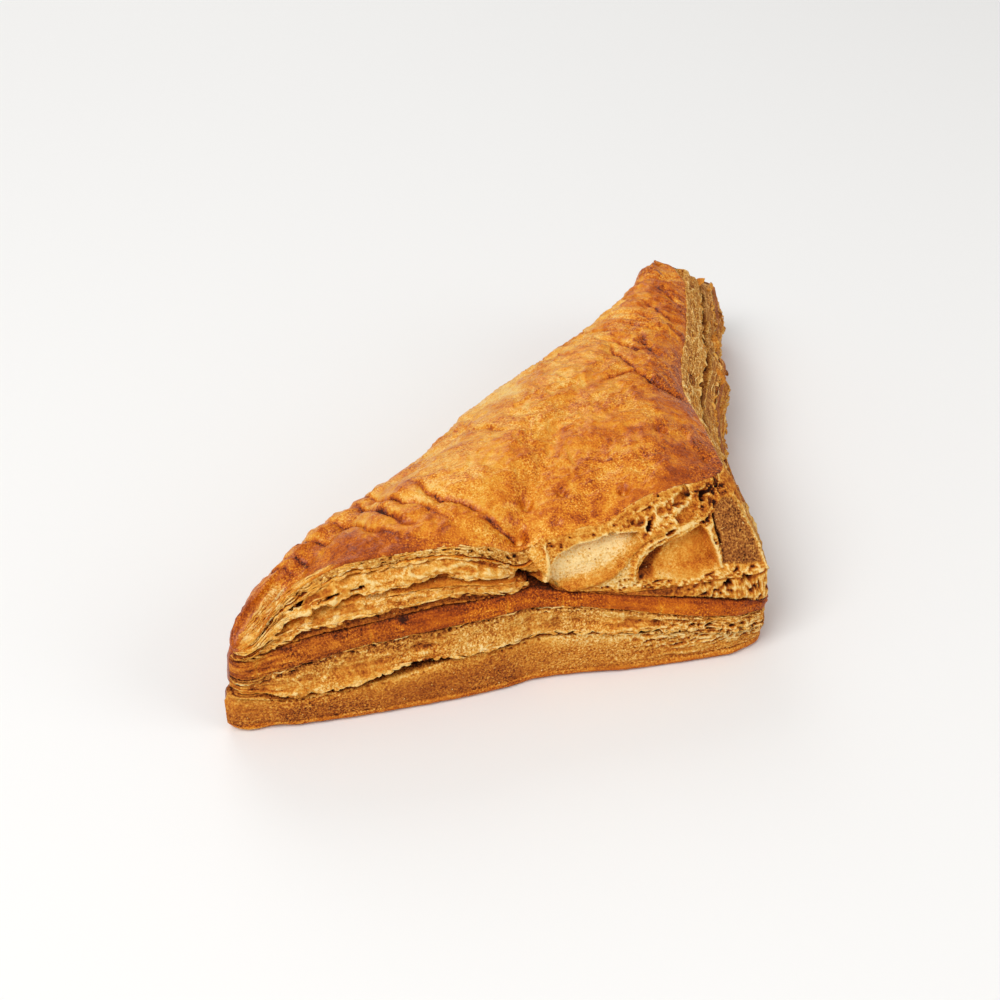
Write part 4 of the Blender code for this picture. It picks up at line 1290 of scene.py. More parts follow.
def lower_relief(grid, places, bake, crumb):
    """The pressed layers' cracks, wrinkles and grain; the sole stays flat on the table."""
    grid = slimmed(grid, places)
    x = grid[..., 0]
    flat_sole = grid[-1].copy()
    wall = Surface(grid, places, bake, crumb)
    open_gap(wall, strip(places, 10.3, 12.6), openness_along(LOWER_OPEN, x, 0.5), 1.6)
    wide = ON_FRONT * near((x - WIDE_GAP[0]) / WIDE_GAP[1], 1.0)
    wall.grid[..., 2] += WIDE_GAP_RISE * wide * strip(places, 8.2, 11.0, 0.5)
    wall.move_out(-WIDE_GAP_DEPTH * wide * strip(places, 10.4, 12.2, 0.3))
    band_surface(wall, strip(places, 1.2, 4.6))
    porous(wall, strip(places, 4.6, 6.2), 271, 0.5, (1.1, 1.1, 0.7), 0.4, 0.24)
    wall.bake += 0.20 * ON_FRONT * (1 - ease(-66.0, -55.0, x)) * strip(places, 4.6, 10.0)
    ply = strip(places, 6.0, 9.8)
    pale = ON_FRONT * between(x, *PALE_STRETCH)
    wall.bake -= 0.09 * pale * ply
    wall.crumb = blend(wall.crumb, 0.75, pale * ply)
    bubbled(wall, 0.8 * ply * (1 - 0.5 * pale), 281, (5.0, 5.0, 3.0), 0.22, 0.5)
    gathered(wall, ply, 291, 0.3)
    porous(wall, strip(places, 12.9, 13.9), 301, 0.6, (1.1, 1.1, 0.7), 0.4, 0.3)
    flaky = strip(places, 6.0, 18.0) * ON_FRONT * ease(4.0, 18.0, x)
    sheets = wall.noise((5.0, 5.0, 0.8), 311, 3, laid=True)
    wall.push += flaky * 0.3 * sheets
    honeycomb(wall, 1.1 * flaky * strip(places, 7.0, 16.0, 0.8), 341)
    wall.bake -= flaky * 0.18 * sheets
    wall.bake -= 0.16 * strip(places, 12.5, 18.0) * ON_FRONT * ease(-16.0, -4.0, x)
    base, grit = strip(places, 13.4, 18.6), wall.noise(0.48, 321)
    wall.push += 0.09 * base * grit
    wall.bake += base * (0.06 * ease(13.4, 17.5, places)[:, None] - 0.05 * grit)
    right = ON_RIGHT * ease(0.01, 0.05, SHARE)
    wall.bake += 0.07 * right * strip(places, 4.0, 20.0)
    wall.crumb = blend(wall.crumb, 0.8, 0.7 * right * strip(places, 1.0, 20.0))
    too_dark = np.maximum(wall.bake - DARKEST_SIDE, 0.0) * (right > 0)
    wall.bake -= 0.5 * too_dark
    left_end = ON_FRONT * (1 - ease(-69.0, -58.0, x)) * strip(places, 16.0, 21.5, 1.5)
    furthest = np.minimum(wall.grid[..., 0], TIP_FACE - 0.1)
    wall.grid[..., 0] = np.maximum(wall.grid[..., 0] - 1.6 * left_end, furthest)
    grain(wall, 331, 1 - 0.85 * base)
    wall.apply()
    wall.grid[-1] = flat_sole
    wall.grid[..., 2] = np.maximum(wall.grid[..., 2], 0.0)
    return wall.grid, wall.bake, wall.crumb


lower_ply = build_wall("lower_ply", LOWER_LINES, lower_relief, ((0.90, 0.0), (0.90, 0.0)))

# %% [markdown]
# ## Glazed crust
# The crust is the outermost leaf, brushed with egg. It covers the top and wraps the fold
# down to the table. It is one triangular grid whose edges are the crust courses, lifted
# into a dome, with rings of the fold below. Under its two cut edges the rings turn in and
# run down inside the walls, where they are never seen.

# %% Crust tables
CRUST_COLUMNS = 300
DOME_RISE = 11.0
DOME_REACH = (12.0, 15.0, 14.0)
CREASES = (
    # depth, width, and the path from the fold towards the cut edge
    (0.8, 1.4, ((-59.5, -46.0), (-55.8, -48.6), (-53.0, -50.6))),
    (0.9, 1.5, ((-56.0, -43.0), (-52.1, -47.2), (-49.5, -49.8))),
    (1.2, 1.5, ((-52.5, -39.5), (-49.4, -42.9), (-45.3, -45.4))),
    (1.1, 1.5, ((-48.0, -35.0), (-42.0, -41.0), (-38.2, -47.5), (-33.8, -51.8))),
    (1.5, 1.6, ((-41.0, -31.0), (-36.6, -39.5), (-34.0, -45.0), (-30.3, -50.4))),
    (1.4, 1.6, ((-37.5, -29.0), (-33.9, -38.6), (-31.0, -42.6), (-27.3, -44.8), (-22.8, -51.0))),
    (1.2, 1.6, ((-28.4, -35.7), (-24.1, -44.3), (-18.7, -46.8), (-16.2, -50.0))),
    (1.1, 1.5, ((-18.0, -49.5), (-10.5, -53.0))),
    (0.7, 1.3, ((-13.3, -20.1), (-9.8, -23.2), (-7.1, -28.1))),
    (0.5, 1.2, ((6.0, -14.0), (12.0, -11.5))),
    (0.9, 1.4, ((16.6, -11.5), (21.4, -9.2), (25.1, -8.4), (28.0, -13.1), (32.4, -16.7), (33.4, -21.5))),
    (1.0, 1.4, ((22.1, 8.3), (25.8, 6.6), (28.0, 1.4), (33.2, -0.5))),
    (1.0, 1.4, ((23.5, 5.1), (23.3, 0.7), (24.9, -5.0), (25.9, -8.9))),
    (0.9, 1.3, ((31.7, 7.7), (31.3, 1.1), (32.3, -1.0))),
    (0.8, 1.4, ((37.0, 26.0), (41.5, 14.0))),
    (0.7, 1.4, ((42.0, 33.0), (46.0, 22.0))),
    (0.6, 1.3, ((40.0, 38.0), (48.0, 33.0))),
)
LIP_PULL = 3.6
LIP_RAISE = 1.3
TIP_REACH = ((-70.0, 9.0), (-60.0, 9.0), (-57.0, 6.0), (-55.0, 4.6), (-50.5, 2.6), (-44.5, 0.0))
DIMPLES = (
    # x, y, depth, radius
    (23.1, -31.8, 1.5, 1.7),
    (10.6, -48.0, 1.2, 1.6),
    (-1.1, -46.0, 0.9, 1.8),
    (-8.2, -46.5, 1.0, 1.8),
    (-10.9, -52.4, 2.0, 2.4),
    (27.9, -12.9, 1.3, 1.8),
    (32.3, -0.6, 0.9, 1.8),
    (16.7, -40.5, 0.6, 1.6),
    (-3.9, -52.7, 0.7, 1.3),
    (34.5, 13.9, 0.9, 1.5),
    (-4.0, -33.0, 0.5, 3.0),
    (30.0, -40.0, 0.6, 2.4),
)
SKIN_COLUMNS = 2
CRUST_LEVELS = 49
SKIN_TURN = ((0.22, -0.25), (0.28, -0.6), (0.05, -0.95), (-0.9, -1.05))
CORE_SHARE = 0.76
CORE_DROP = 1.6
CORE_FLOOR = 0.5
print(len(CREASES), "creases and", len(DIMPLES), "dimples")


# %% Crust grid
def crust_edge(side, t):
    """The crust's own edge; near the far tip it is drawn back from the cut side."""
    edge = course(side, "lip", t)
    back = ease(0.88, 1.0, t) if side == 1 else (1 - ease(0.0, 0.06, t)) * (side == 2)
    edge[:, :2] += np.outer(LIP_PULL * back, INWARD[1])
    edge[:, 2] += LIP_RAISE * back
    return edge


def crust_grid(count):
    """The glazed top as a triangular grid bounded by the three crust courses."""
    t = np.linspace(0, 1, count + 1)
    edges = [crust_edge(side, t) for side in range(3)]
    left, front, far = edges[0][0], edges[1][0], edges[2][0]
    for side, last in ((0, front), (1, far), (2, left)):
        edges[side][-1] = last
    i = np.repeat(np.arange(count + 1), np.arange(count + 1) + 1)
    j = np.concatenate([np.arange(n + 1) for n in range(count + 1)])
    a, b, c = (i - j) / count, 1 - i / count, j / count
    points = np.outer(a, left) + np.outer(b, front) + np.outer(c, far)
    weights = np.array([a * b, b * c, c * a]) + 1e-12
    weights = weights / weights.sum(0)
    runs = ((edges[0], a, b), (edges[1], b, c), (edges[2], c, a))
    for weight, (edge, towards, away) in zip(weights, runs):
        total = towards + away
        run = away / np.where(total > 0, total, 1)
        weight = weight * (total > 0)
        chord = np.outer(1 - run, edge[0]) + np.outer(run, edge[-1])
        bent = np.column_stack([np.interp(run, t, edge[:, axis]) for axis in range(3)])
        points += weight[:, None] * (bent - chord)
    return points, (a, b, c), (left, front, far)


def edge_distances(shares, corners):
    """Distance of each crust point from the right edge, the fold and the front edge."""
    left, front, far = (corner[:2] for corner in corners)
    span = front - left
    reach = far - left
    area = abs(span[0] * reach[1] - span[1] * reach[0])
    sides = (np.linalg.norm(far - front), np.linalg.norm(far - left), np.linalg.norm(front - left))
    return [share * area / side for share, side in zip(shares, sides)]


def crease_lines(points):
    """Broad troughs and sharp slits along them, darkened as painted shade, and their upper lips,
    lightened as a painted highlight.
    """
    bent = warped(points * (1, 1, 0), 0.8, 3.5, 31)[:, :2]
    trough, slit, lip = np.zeros((3, len(points)))
    for depth, width, path in CREASES:
        runs = list(zip(path, path[1:]))
        for index, (start, end) in enumerate(runs):
            step = np.subtract(end, start)
            offset = bent - start
            along = np.clip(offset @ step / (step @ step), 0, 1)
            away = offset - np.outer(along, step)
            side_on = away @ np.array([step[1], -step[0]]) / np.linalg.norm(step)
            apart = np.linalg.norm(away, axis=1)
            travelled = (index + along) / len(runs)
            taper = depth * np.minimum(1, 0.3 + 3.0 * travelled)
            taper = taper * np.minimum(1, 0.15 + 2.6 * (1 - travelled))
            trough = np.maximum(trough, taper * near(apart, width * 1.2))
            slit = np.maximum(slit, taper * near(apart, 0.36))
            lip = np.maximum(lip, taper * near(side_on + 1.0, 0.8) * near(apart, 2.0))
    return trough, slit, lip


def dimples(points):
    """Small pricked holes with soft mouths."""
    mouth, hole = np.zeros((2, len(points)))
    for x, y, depth, radius in DIMPLES:
        apart = np.hypot(points[:, 0] - x, points[:, 1] - y)
        mouth = np.maximum(mouth, depth * near(apart, 0.65 * radius))
        hole = np.maximum(hole, depth * near(apart, 0.32 * radius))
    return mouth, hole


# %% [markdown]
# The glaze sets before the dough stops moving, so it wrinkles. Near the tips the wrinkles
# lie across the tip. Elsewhere low blisters and a fine skin grain catch the light. The
# ridges brown first, so most kinds of relief bring their own browning; the crease slits
# and dimple mouths are darkened as painted shade, and the slit lips and fine far tip
# wrinkles are lightened as painted highlight.

# %% Crust relief
FAR_AXIS = (CORNERS[2] - CENTROID) / np.linalg.norm(CORNERS[2] - CENTROID)
LEFT_AXIS = (CORNERS[0] - CENTROID) / np.linalg.norm(CORNERS[0] - CENTROID)
GOLDEN_PATCHES = (
    # x, y, reach, how much less browned
    (14.0, -17.0, 13.0, 0.13),
    (25.0, -24.0, 7.0, 0.15),
    (-23.0, -42.0, 6.0, 0.18),
    (-32.5, -50.0, 6.0, 0.15),
    (-8.5, -54.0, 9.0, 0.17),
)
GOLDEN_RIDGE = ((-46.0, -28.0), (-10.0, 6.0), (18.0, 28.0))
PALE_FRONT = (-26.0, -14.0, 8.0, 24.0)
PLAIN_BAKE = 0.29
CRUST_DETAILS = {
    # how far it stands out in millimetres, how much it browns; the trough, slit and dimple
    # mouth darken as painted shade, and the slit lip and fine far tip wrinkles lighten as
    # painted highlight
    "low swells": (0.42, 0.05),
    "swells": (0.24, 0.08),
    "far tip wrinkles": (1.10, 0.10),
    "fine far tip wrinkles": (0.40, -0.14),
    "left tip wrinkles": (0.50, 0.16),
    "blisters": (0.30, 0.14),
    "skin": (0.20, 0.12),
    "creep": (0.24, 0.02),
    "trough": (-0.85, 0.06),
    "slit": (-0.55, 0.44),
    "slit lip": (0.40, -0.19),
    "dimple mouth": (-1.20, 0.34),
    "dimple hole": (-0.30, -0.60),
    "broad patches": (0.0, 0.10),
    "mottling": (0.0, 0.16),
    "reddened spots": (0.0, 0.20),
    "front edge": (0.0, 0.26),
    "right edge": (0.0, 0.22),
    "far tip": (0.0, 0.05),
    "left tip": (0.0, 0.17),
    "front corner": (0.0, 0.10),
    "golden ridge": (0.0, -0.26),
}


def across_tip(points, axis, spacing):
    """Coordinates stretched across a tip, so that noise read there makes wrinkles."""
    along = points[:, :2] @ axis
    across = points[:, :2] @ np.array([-axis[1], axis[0]])
    return np.column_stack([along / spacing, across / (4.5 * spacing), np.zeros(len(points))])


def blistering(points, shares, right):
    """Tiny blisters, most of them near the front corner and the right edge."""
    nearest, _, mark = cells(warped(points, 0.5, 2.0, 60), 2.1, 61)
    corner = 0.5 * ease(0.2, 0.7, shares[1]) + 0.5 * np.exp(-right / 9.0)
    areas = ease(0.0, 0.5, swell(points, 15.0, 62) + corner - 0.1)
    return (1 - ease(0.08, 0.5, nearest)) * (mark > 0.5) * areas


def reddening(points):
    """Round spots that browned more, gathered in some areas."""
    nearest = cells(warped(points, 0.5, 2.0, 66), 6.5, 67)[0]
    return (1 - ease(0.05, 0.30, nearest)) * ease(-0.1, 0.3, swell(points, 13.0, 68))


def crust_details(points, shares, distances):
    """Each kind of relief and browning on the crust, by its name in the table."""
    right, _, front = distances
    x, y = points[:, 0], points[:, 1]
    bent = warped(points, 1.8, 9.0, 42)
    far_tip, left_tip = ease(0.42, 0.72, shares[2]), ease(0.45, 0.80, shares[0])
    fine = ridged(gradient_noise(across_tip(bent, FAR_AXIS, 1.7), 53))
    creeping = ease(-0.2, 0.4, swell(points, 11.0, 65))
    trough, slit, slit_lip = crease_lines(points)
    mouth, hole = dimples(points)
    return {
        "low swells": swell(points, 9.0, 41, 2),
        "swells": swell(bent, 4.2, 45, 2),
        "far tip wrinkles": far_tip * gradient_noise(across_tip(bent, FAR_AXIS, 2.4), 51),
        "fine far tip wrinkles": far_tip * fine,
        "left tip wrinkles": left_tip * gradient_noise(across_tip(bent, LEFT_AXIS, 3.2), 52),
        "blisters": blistering(points, shares, right),
        "skin": swell(bent, 1.4, 63, 3),
        "creep": ridged(swell(bent, 5.0, 64, 2)) * creeping,
        "trough": trough,
        "slit": slit,
        "slit lip": slit_lip,
        "dimple mouth": mouth,
        "dimple hole": hole,
        "broad patches": swell(points, 22.0, 81, 2),
        "mottling": ease(-0.35, 0.45, swell(bent, 6.0, 82, 3)),
        "reddened spots": reddening(points),
        "front edge": (1 - 0.95 * between(x, *PALE_FRONT)) * np.exp(-front / 5.0),
        "right edge": np.exp(-right / 12.0),
        "far tip": far_tip,
        "left tip": left_tip,
        "front corner": ease(0.15, 0.6, shares[1]),
        "golden ridge": near(line_distance(GOLDEN_RIDGE, x, y), 14.0),
    }


def torn_tip(points, fold):
    """Where torn layers reach over the crust edge near the left tip, and their ridges."""
    lip = RINGS["lip"][:FRONT_COLUMNS]
    x, width = np.array(TIP_REACH).T
    reach = np.interp(points[:, 0], x, width) + 0.01
    above = points[:, 1] - np.interp(points[:, 0], lip[:, 0], lip[:, 1])
    stray = 0.5 * swell(points, 2.4, 91, 2)
    shown = (1 - ease(0.85, 1.15, (above + stray) / reach)) * ease(0.3, 1.0, reach)
    shown = shown * ease(0.2, 1.2, fold + stray)
    fan = 1.0 + 0.22 * np.maximum(points[:, 0] + 70.0, 0)
    laid = np.column_stack([points[:, 0] / 8.0, 2.6 * (above + 0.4 * stray) / fan, 0 * above])
    return shown, gradient_noise(laid, 92) + 0.5 * gradient_noise(2 * laid, 93)


def crust_surface(points, shares, distances):
    """Relief of the glaze above the plain dome, its browning, and where the tip is torn."""
    details = crust_details(points, shares, distances)
    height = sum(rise * details[name] for name, (rise, _) in CRUST_DETAILS.items())
    bake = PLAIN_BAKE + sum(brown * details[name] for name, (_, brown) in CRUST_DETAILS.items())
    for x, y, reach, lighter in GOLDEN_PATCHES:
        bake -= lighter * near(np.hypot(points[:, 0] - x, points[:, 1] - y), reach)
    torn, ridges = torn_tip(points, distances[1])
    bake = np.minimum(bake, 0.70 + 0.25 * details["slit"])
    return height + 0.8 * torn * ridges, blend(bake, 0.40 - 0.60 * ridges, torn), torn


# %% [markdown]
# The top is lifted into a dome and pushed by its relief. Below its rim hang the rings of
# the fold. On the cut sides those rings turn under the skin's edge instead, and run down
# as a hidden core, so that the piece is closed.


# %% Top and skirt
def crust_top():
    """The domed, wrinkled top, and what the rings below its rim need to carry it on."""
    points, shares, corners = crust_grid(CRUST_COLUMNS)
    right, fold, front = distances = edge_distances(shares, corners)
    rise = np.full(len(points), DOME_RISE)
    for distance, reach in zip(distances, DOME_REACH):
        rise *= 1 - np.exp(-distance / reach)
    points[:, 2] += rise
    fade = 0.15 + 0.85 * np.clip(np.minimum(right, front) / 2.5, 0, 1)
    height, bake, torn = crust_surface(points, shares, distances)
    lean = np.column_stack([np.outer(0.8 * np.exp(-fold / 5.0), -INWARD[2]), np.ones(len(points))])
    lean /= np.linalg.norm(lean, axis=1)[:, None]
    points += lean * (height * fade)[:, None]
    return points, bake, torn, lean, fade, (*shares, *distances)


def stacked(courses, levels):
    """Rings filled in evenly between the courses."""
    steps = np.linspace(0, len(courses) - 1, levels)
    lower = np.minimum(steps.astype(int), len(courses) - 2)
    part = (steps - lower)[:, None, None]
    return blurred(courses[lower] * (1 - part) + courses[lower + 1] * part, 2)


def tucked_rings(lip_ring):
    """Rings under the cut edges: round the skin's edge, then down inside the walls."""
    out = facing_out(lip_ring)
    rings = [lip_ring]
    for shift, drop in SKIN_TURN:
        turned = lip_ring.copy()
        turned[:, :2] += out * shift
        turned[:, 2] += drop
        rings.append(turned)
    core = drawn_in(lip_ring, CORE_SHARE)
    for share in np.linspace(0, 1, CRUST_LEVELS - len(rings)):
        lower = core.copy()
        lower[:, 2] = (core[:, 2] - CORE_DROP) * (1 - share) + CORE_FLOOR * share
        rings.append(lower)
    return np.array(rings)


def row_starts(count):
    """The number of the first point in each row of the triangular grid."""
    return np.cumsum(np.arange(count + 2))[:-1]


def crust_skirt(lean, fade, measures):
    """Rings below the rim: the rounded fold, and the hidden core of the cut sides."""
    count = CRUST_COLUMNS
    t = np.arange(count) / count
    lip_ring = np.vstack([crust_edge(side, t) for side in range(3)])
    courses = [np.vstack([course(side, row, t) for side in range(3)]) for row in FOLD_ROWS]
    fold_rings = stacked(np.array(courses), CRUST_LEVELS)
    fold_rings[0] = lip_ring
    cut = np.arange(3 * count) < 2 * count
    cut[:SKIN_COLUMNS] = False
    rings = np.where(cut[:, None], tucked_rings(lip_ring), fold_rings)
    starts, k = row_starts(count), np.arange(count)
    rim = np.concatenate([starts[count - k], starts[k] + k, starts[count] + count - k])
    level = np.repeat(np.arange(float(CRUST_LEVELS)), 3 * count)
    around = [np.tile(values[rim], CRUST_LEVELS) for values in measures]
    spots = rings.reshape(-1, 3)
    height, bake, _ = crust_surface(spots, around[:3], around[3:])
    at_rim = (1 - ease(0, 5, level))[:, None]
    normal = normals_of(blurred(rings, 2)).reshape(-1, 3)
    push = np.tile(lean[rim], (CRUST_LEVELS, 1)) * at_rim + normal * (1 - at_rim)
    shown = np.tile(~cut * fade[rim], CRUST_LEVELS)
    calm = (1 - 0.6 * ease(14, 34, level)) * (1 - ease(CRUST_LEVELS - 5, CRUST_LEVELS - 1, level))
    spots = spots + push * (shown * calm * height)[:, None]
    spots[:, 2] = np.maximum(spots[:, 2], 0.0)
    return spots, bake + 0.10 * ease(6, 34, level), rim


# %% Join the crust
CLOSING_HEIGHT = 0.4
CLOSING_BAKE = 0.6


def crust_faces(count, levels, rim):
    """Triangles of the top, quads of the rings below it, and the hidden closing fan."""
    starts = row_starts(count)
    faces = []
    for i in range(count):
        j = np.arange(i + 1)
        faces.extend(zip(starts[i] + j, starts[i + 1] + j + 1, starts[i + 1] + j))
        j = np.arange(i)
        faces.extend(zip(starts[i] + j, starts[i] + j + 1, starts[i + 1] + j + 1))
    around = 3 * count
    total = starts[count] + count + 1
    upper = rim
    for level in range(1, levels):
        below = total + (level - 1) * around + np.arange(around)
        faces.extend(zip(upper, below, np.roll(below, -1), np.roll(upper, -1)))
        upper = below
    last = total + (levels - 1) * around
    faces.extend(zip([last] * around, np.roll(upper, -1), upper))
    return [tuple(int(value) for value in face) for face in faces]


top, top_browning_and_shade, top_torn, *carried_on = crust_top()
skirt, skirt_browning_and_shade, rim = crust_skirt(*carried_on)
below_rim = len(rim)
crust_points = np.vstack([top, skirt[below_rim:], [[*CENTROID, CLOSING_HEIGHT]]])
crust_browning_and_shade = np.concatenate([top_browning_and_shade, skirt_browning_and_shade[below_rim:], [CLOSING_BAKE]])
crust_crumb = np.concatenate([0.5 * top_torn, np.zeros(len(crust_browning_and_shade) - len(top_torn))])
glazed_crust = closed_mesh("glazed_crust", crust_points, crust_faces(CRUST_COLUMNS, CRUST_LEVELS, rim),
                           {"bake": crust_browning_and_shade, "crumb": crust_crumb, "relief": 0 * crust_browning_and_shade})

# %% [markdown]
# ## Finishes
# Baked dough goes from cream through gold and orange to dark brown as it loses water. One
# number on each point carries that from the mesh to the colour ramp, so edges and tips
# brown the way they do in an oven. The same number also carries painted shade into
# crevices, pits and hollows, and the relief value adds painted shade in hollows and a
# painted highlight on what stands out. Torn crumb is duller than the glazed skin, so it
# has a ramp of its own.

# %% Baked colours
GLAZE_STOPS = ((0.0, "#F8CC74"), (0.22, "#EFAA3C"), (0.42, "#DF861C"), (0.58, "#C8660F"),
               (0.74, "#A3460A"), (0.88, "#702A08"), (1.0, "#3C1605"))
CRUMB_STOPS = ((0.0, "#FADDA2"), (0.12, "#F1CA82"), (0.26, "#E2AC54"), (0.42, "#CD8935"),
               (0.58, "#B06926"), (0.74, "#874818"), (0.88, "#54290C"), (1.0, "#241005"))
PIT_SIZE = 0.4762
PATTERNS = {
    # size in millimetres, octaves, roughness
    "areas": (9.0909, 2.0, 0.5),
    "folds": (4.3478, 6.0, 0.62),
    "patches": (2.6316, 5.0, 0.7),
    "specks": (0.3846, 2.0, 0.6),
}
BROWNING_AND_SHADE_STEPS = (
    # result, operation, then numbers or earlier results
    ("crumbly", "MINIMUM", "crumb", 1.0),
    ("patchy", "MULTIPLY_ADD", "patches", 0.5, -0.25),
    ("value", "ADD", "bake", "patchy"),
    # fine specks, stronger on crumb and in some areas
    ("strength", "MULTIPLY_ADD", "crumbly", 0.35, 0.65),
    ("strength", "MULTIPLY", "strength", "contrast"),
    ("strength", "MULTIPLY", "strength", "uneven"),
    ("speckle", "SUBTRACT", "specks", 0.5),
    ("value", "MULTIPLY_ADD", "speckle", "strength", "value"),
    # tiny pits in crumb, darkened as painted shade
    ("pitted", "SUBTRACT", 0.42, "pits"),
    ("pitted", "MULTIPLY", "pitted", "crumbly"),
    ("value", "MULTIPLY_ADD", "pitted", 0.45, "value"),
    # painted highlight on what stands out, and painted shade in hollows
    ("value", "MULTIPLY_ADD", "relief", -0.50, "value"),
    # golden flecks, most of them on the glaze
    ("smooth", "MULTIPLY_ADD", "crumbly", -0.182, 0.26),
    ("flecked", "MULTIPLY", "flecks", "uneven"),
    ("flecked", "MULTIPLY", "flecked", "smooth"),
    ("value", "SUBTRACT", "value", "flecked"),
    # hair-thin creases, a little paler
    ("crease", "SUBTRACT", "folds", 0.5),
    ("crease", "ABSOLUTE", "crease"),
    ("crease", "MULTIPLY_ADD", "crease", -62.5, 1.0),
    ("crease", "MAXIMUM", "crease", 0.0),
    ("value", "MULTIPLY_ADD", "crease", -0.08, "value"),
    ("value", "ADD", "value", 0.03),
    # crumb values above 1 say how dry, and so how dull, the dough is
    ("dryness", "SUBTRACT", "crumb", "crumbly"),
    ("saturation", "MULTIPLY_ADD", "dryness", -0.10, 1.0),
    ("rough", "MULTIPLY_ADD", "patchy", 0.4, "roughness"),
    ("rough", "MULTIPLY_ADD", "crumbly", 0.3, "rough"),
    ("bumps", "MULTIPLY", "pits", "crumbly"),
    ("bumps", "MULTIPLY_ADD", "specks", 0.8, "bumps"),
    ("bumps", "MULTIPLY_ADD", "patches", 1.4, "bumps"),
)
BUMP_HEIGHT = 0.4
BUMP_STRENGTH = 0.7


def pastry(name, gloss, roughness, contrast):
    """Laminated dough, baked: its colour follows the mesh's own browning, painted shade and crumb
    values.
    """
    material = bpy.data.materials.new(name)
    material.use_nodes = True
    tree = material.node_tree
    tree.nodes.clear()
    known = {"roughness": roughness, "contrast": contrast}
    for field in ("bake", "crumb", "relief"):
        known[field] = add(tree, "ShaderNodeAttribute", attribute_name=field).outputs["Fac"]
    spot = add(tree, "ShaderNodeTexCoord").outputs["Object"]
    for pattern, (size, octaves, rough) in PATTERNS.items():
        known[pattern] = add(tree, "ShaderNodeTexNoise", {
            "Vector": spot, "Scale": 1 / (size * MM), "Detail": octaves, "Roughness": rough})
    pits = add(tree, "ShaderNodeTexVoronoi", {"Vector": spot, "Scale": 1 / (PIT_SIZE * MM)})
    spread = {0: known["areas"], 1: 0.38, 2: 0.62, 3: 0.55, 4: 1.45}
    known["pits"] = pits
    known["uneven"] = add(tree, "ShaderNodeMapRange", spread)
    known["flecks"] = add(tree, "ShaderNodeMapRange", {0: pits, 1: 0.12, 2: 0.34, 3: 1.0, 4: 0.0})
    known = worked_out(tree, known, BROWNING_AND_SHADE_STEPS)
    colors = {0: known["crumbly"]}
    for place, stops in ((6, GLAZE_STOPS), (7, CRUMB_STOPS)):
        ramp = add(tree, "ShaderNodeValToRGB", {"Fac": known["value"]})
        elements = ramp.color_ramp.elements
        while len(elements) < len(stops):
            elements.new(0.5)
        for element, (position, color) in zip(elements, stops):
            element.position = position
            element.color = linear(color)
        colors[place] = ramp.outputs["Color"]
    color = add(tree, "ShaderNodeMix", colors, data_type="RGBA").outputs[2]
    muted = add(tree, "ShaderNodeHueSaturation", {"Saturation": known["saturation"], "Color": color})
    bump = add(tree, "ShaderNodeBump", {
        "Height": known["bumps"], "Strength": BUMP_STRENGTH, "Distance": BUMP_HEIGHT * MM})
    shader = add(tree, "ShaderNodeBsdfPrincipled", {
        "Base Color": muted, "Roughness": known["rough"], "Normal": bump})
    shader.inputs["IOR"].default_value = 1.45
    shader.inputs["Specular IOR Level"].default_value = 0.14
    shader.inputs["Coat Weight"].default_value = gloss
    shader.inputs["Coat Roughness"].default_value = 0.22
    output = add(tree, "ShaderNodeOutputMaterial", {"Surface": shader})
    output.is_active_output = True
    return material


# Egg-washed dough: a thin, slightly glossy brown skin.
egg_glazed_crust = pastry("egg_glazed_crust", 0.22, 0.37, 1.45)
# Torn laminated layers: matt, porous, with translucent pale sheets.
torn_layers = pastry("torn_pastry_layers", 0.0, 0.55, 0.95)
# Dense lower ply: matt, fine-grained crumb.
dense_ply = pastry("dense_lower_ply", 0.0, 0.50, 1.3)

glazed_crust.data.materials.append(egg_glazed_crust)
upper_layers.data.materials.append(torn_layers)
lower_ply.data.materials.append(dense_ply)
print("finishes:", [finish.name for finish in (egg_glazed_crust, torn_layers, dense_ply)])

# %% [markdown]
# ## Leaves, strands and crumbs
# A knife tears laminated dough as much as it cuts it. So thin leaves curl out of the edges,
# strands of dough fan out at the left tip, and crumbs cling to the cut. They repeat, so
# geometry nodes place them: a line or a surface carries them, and each gets its own turn,
# size and browning. What the nodes make is then kept as a plain mesh.


# %% Node-tree helpers
def new_tree(name, inputs):
    """A geometry node tree with named inputs, and the sockets that give them."""
    tree = bpy.data.node_groups.new(name, "GeometryNodeTree")
    tree.interface.new_socket("Geometry", in_out="INPUT", socket_type="NodeSocketGeometry")
    tree.interface.new_socket("Geometry", in_out="OUTPUT", socket_type="NodeSocketGeometry")
    for label, kind in inputs.items():
        tree.interface.new_socket(label, in_out="INPUT", socket_type="NodeSocket" + kind)
    return tree, tree.nodes.new("NodeGroupInput").outputs


def draws(tree, seed, chances):
    """A random number or vector for each thing placed, for each named pair of limits."""
    drawn = {}
    for name, (low, high) in chances.items():
        vector = isinstance(low, tuple)
        limits = {0: low, 1: high} if vector else {2: low, 3: high}
        drawn[name] = add(tree, "FunctionNodeRandomValue", {**limits, "Seed": seed},
                          data_type="FLOAT_VECTOR" if vector else "FLOAT")
    return drawn


def ragged(tree, geometry, size, amount):
    """The geometry with its points moved by noise of a size, by an amount, in metres."""
    noise = add(tree, "ShaderNodeTexNoise", {"Scale": 1 / size, "Detail": 2.0}).outputs["Color"]
    away = add(tree, "ShaderNodeVectorMath", {0: noise, 1: (0.5, 0.5, 0.5)}, operation="SUBTRACT")
    offset = add(tree, "ShaderNodeVectorMath", {0: away, "Scale": amount}, operation="SCALE")
    return add(tree, "GeometryNodeSetPosition", {"Geometry": geometry, "Offset": offset})


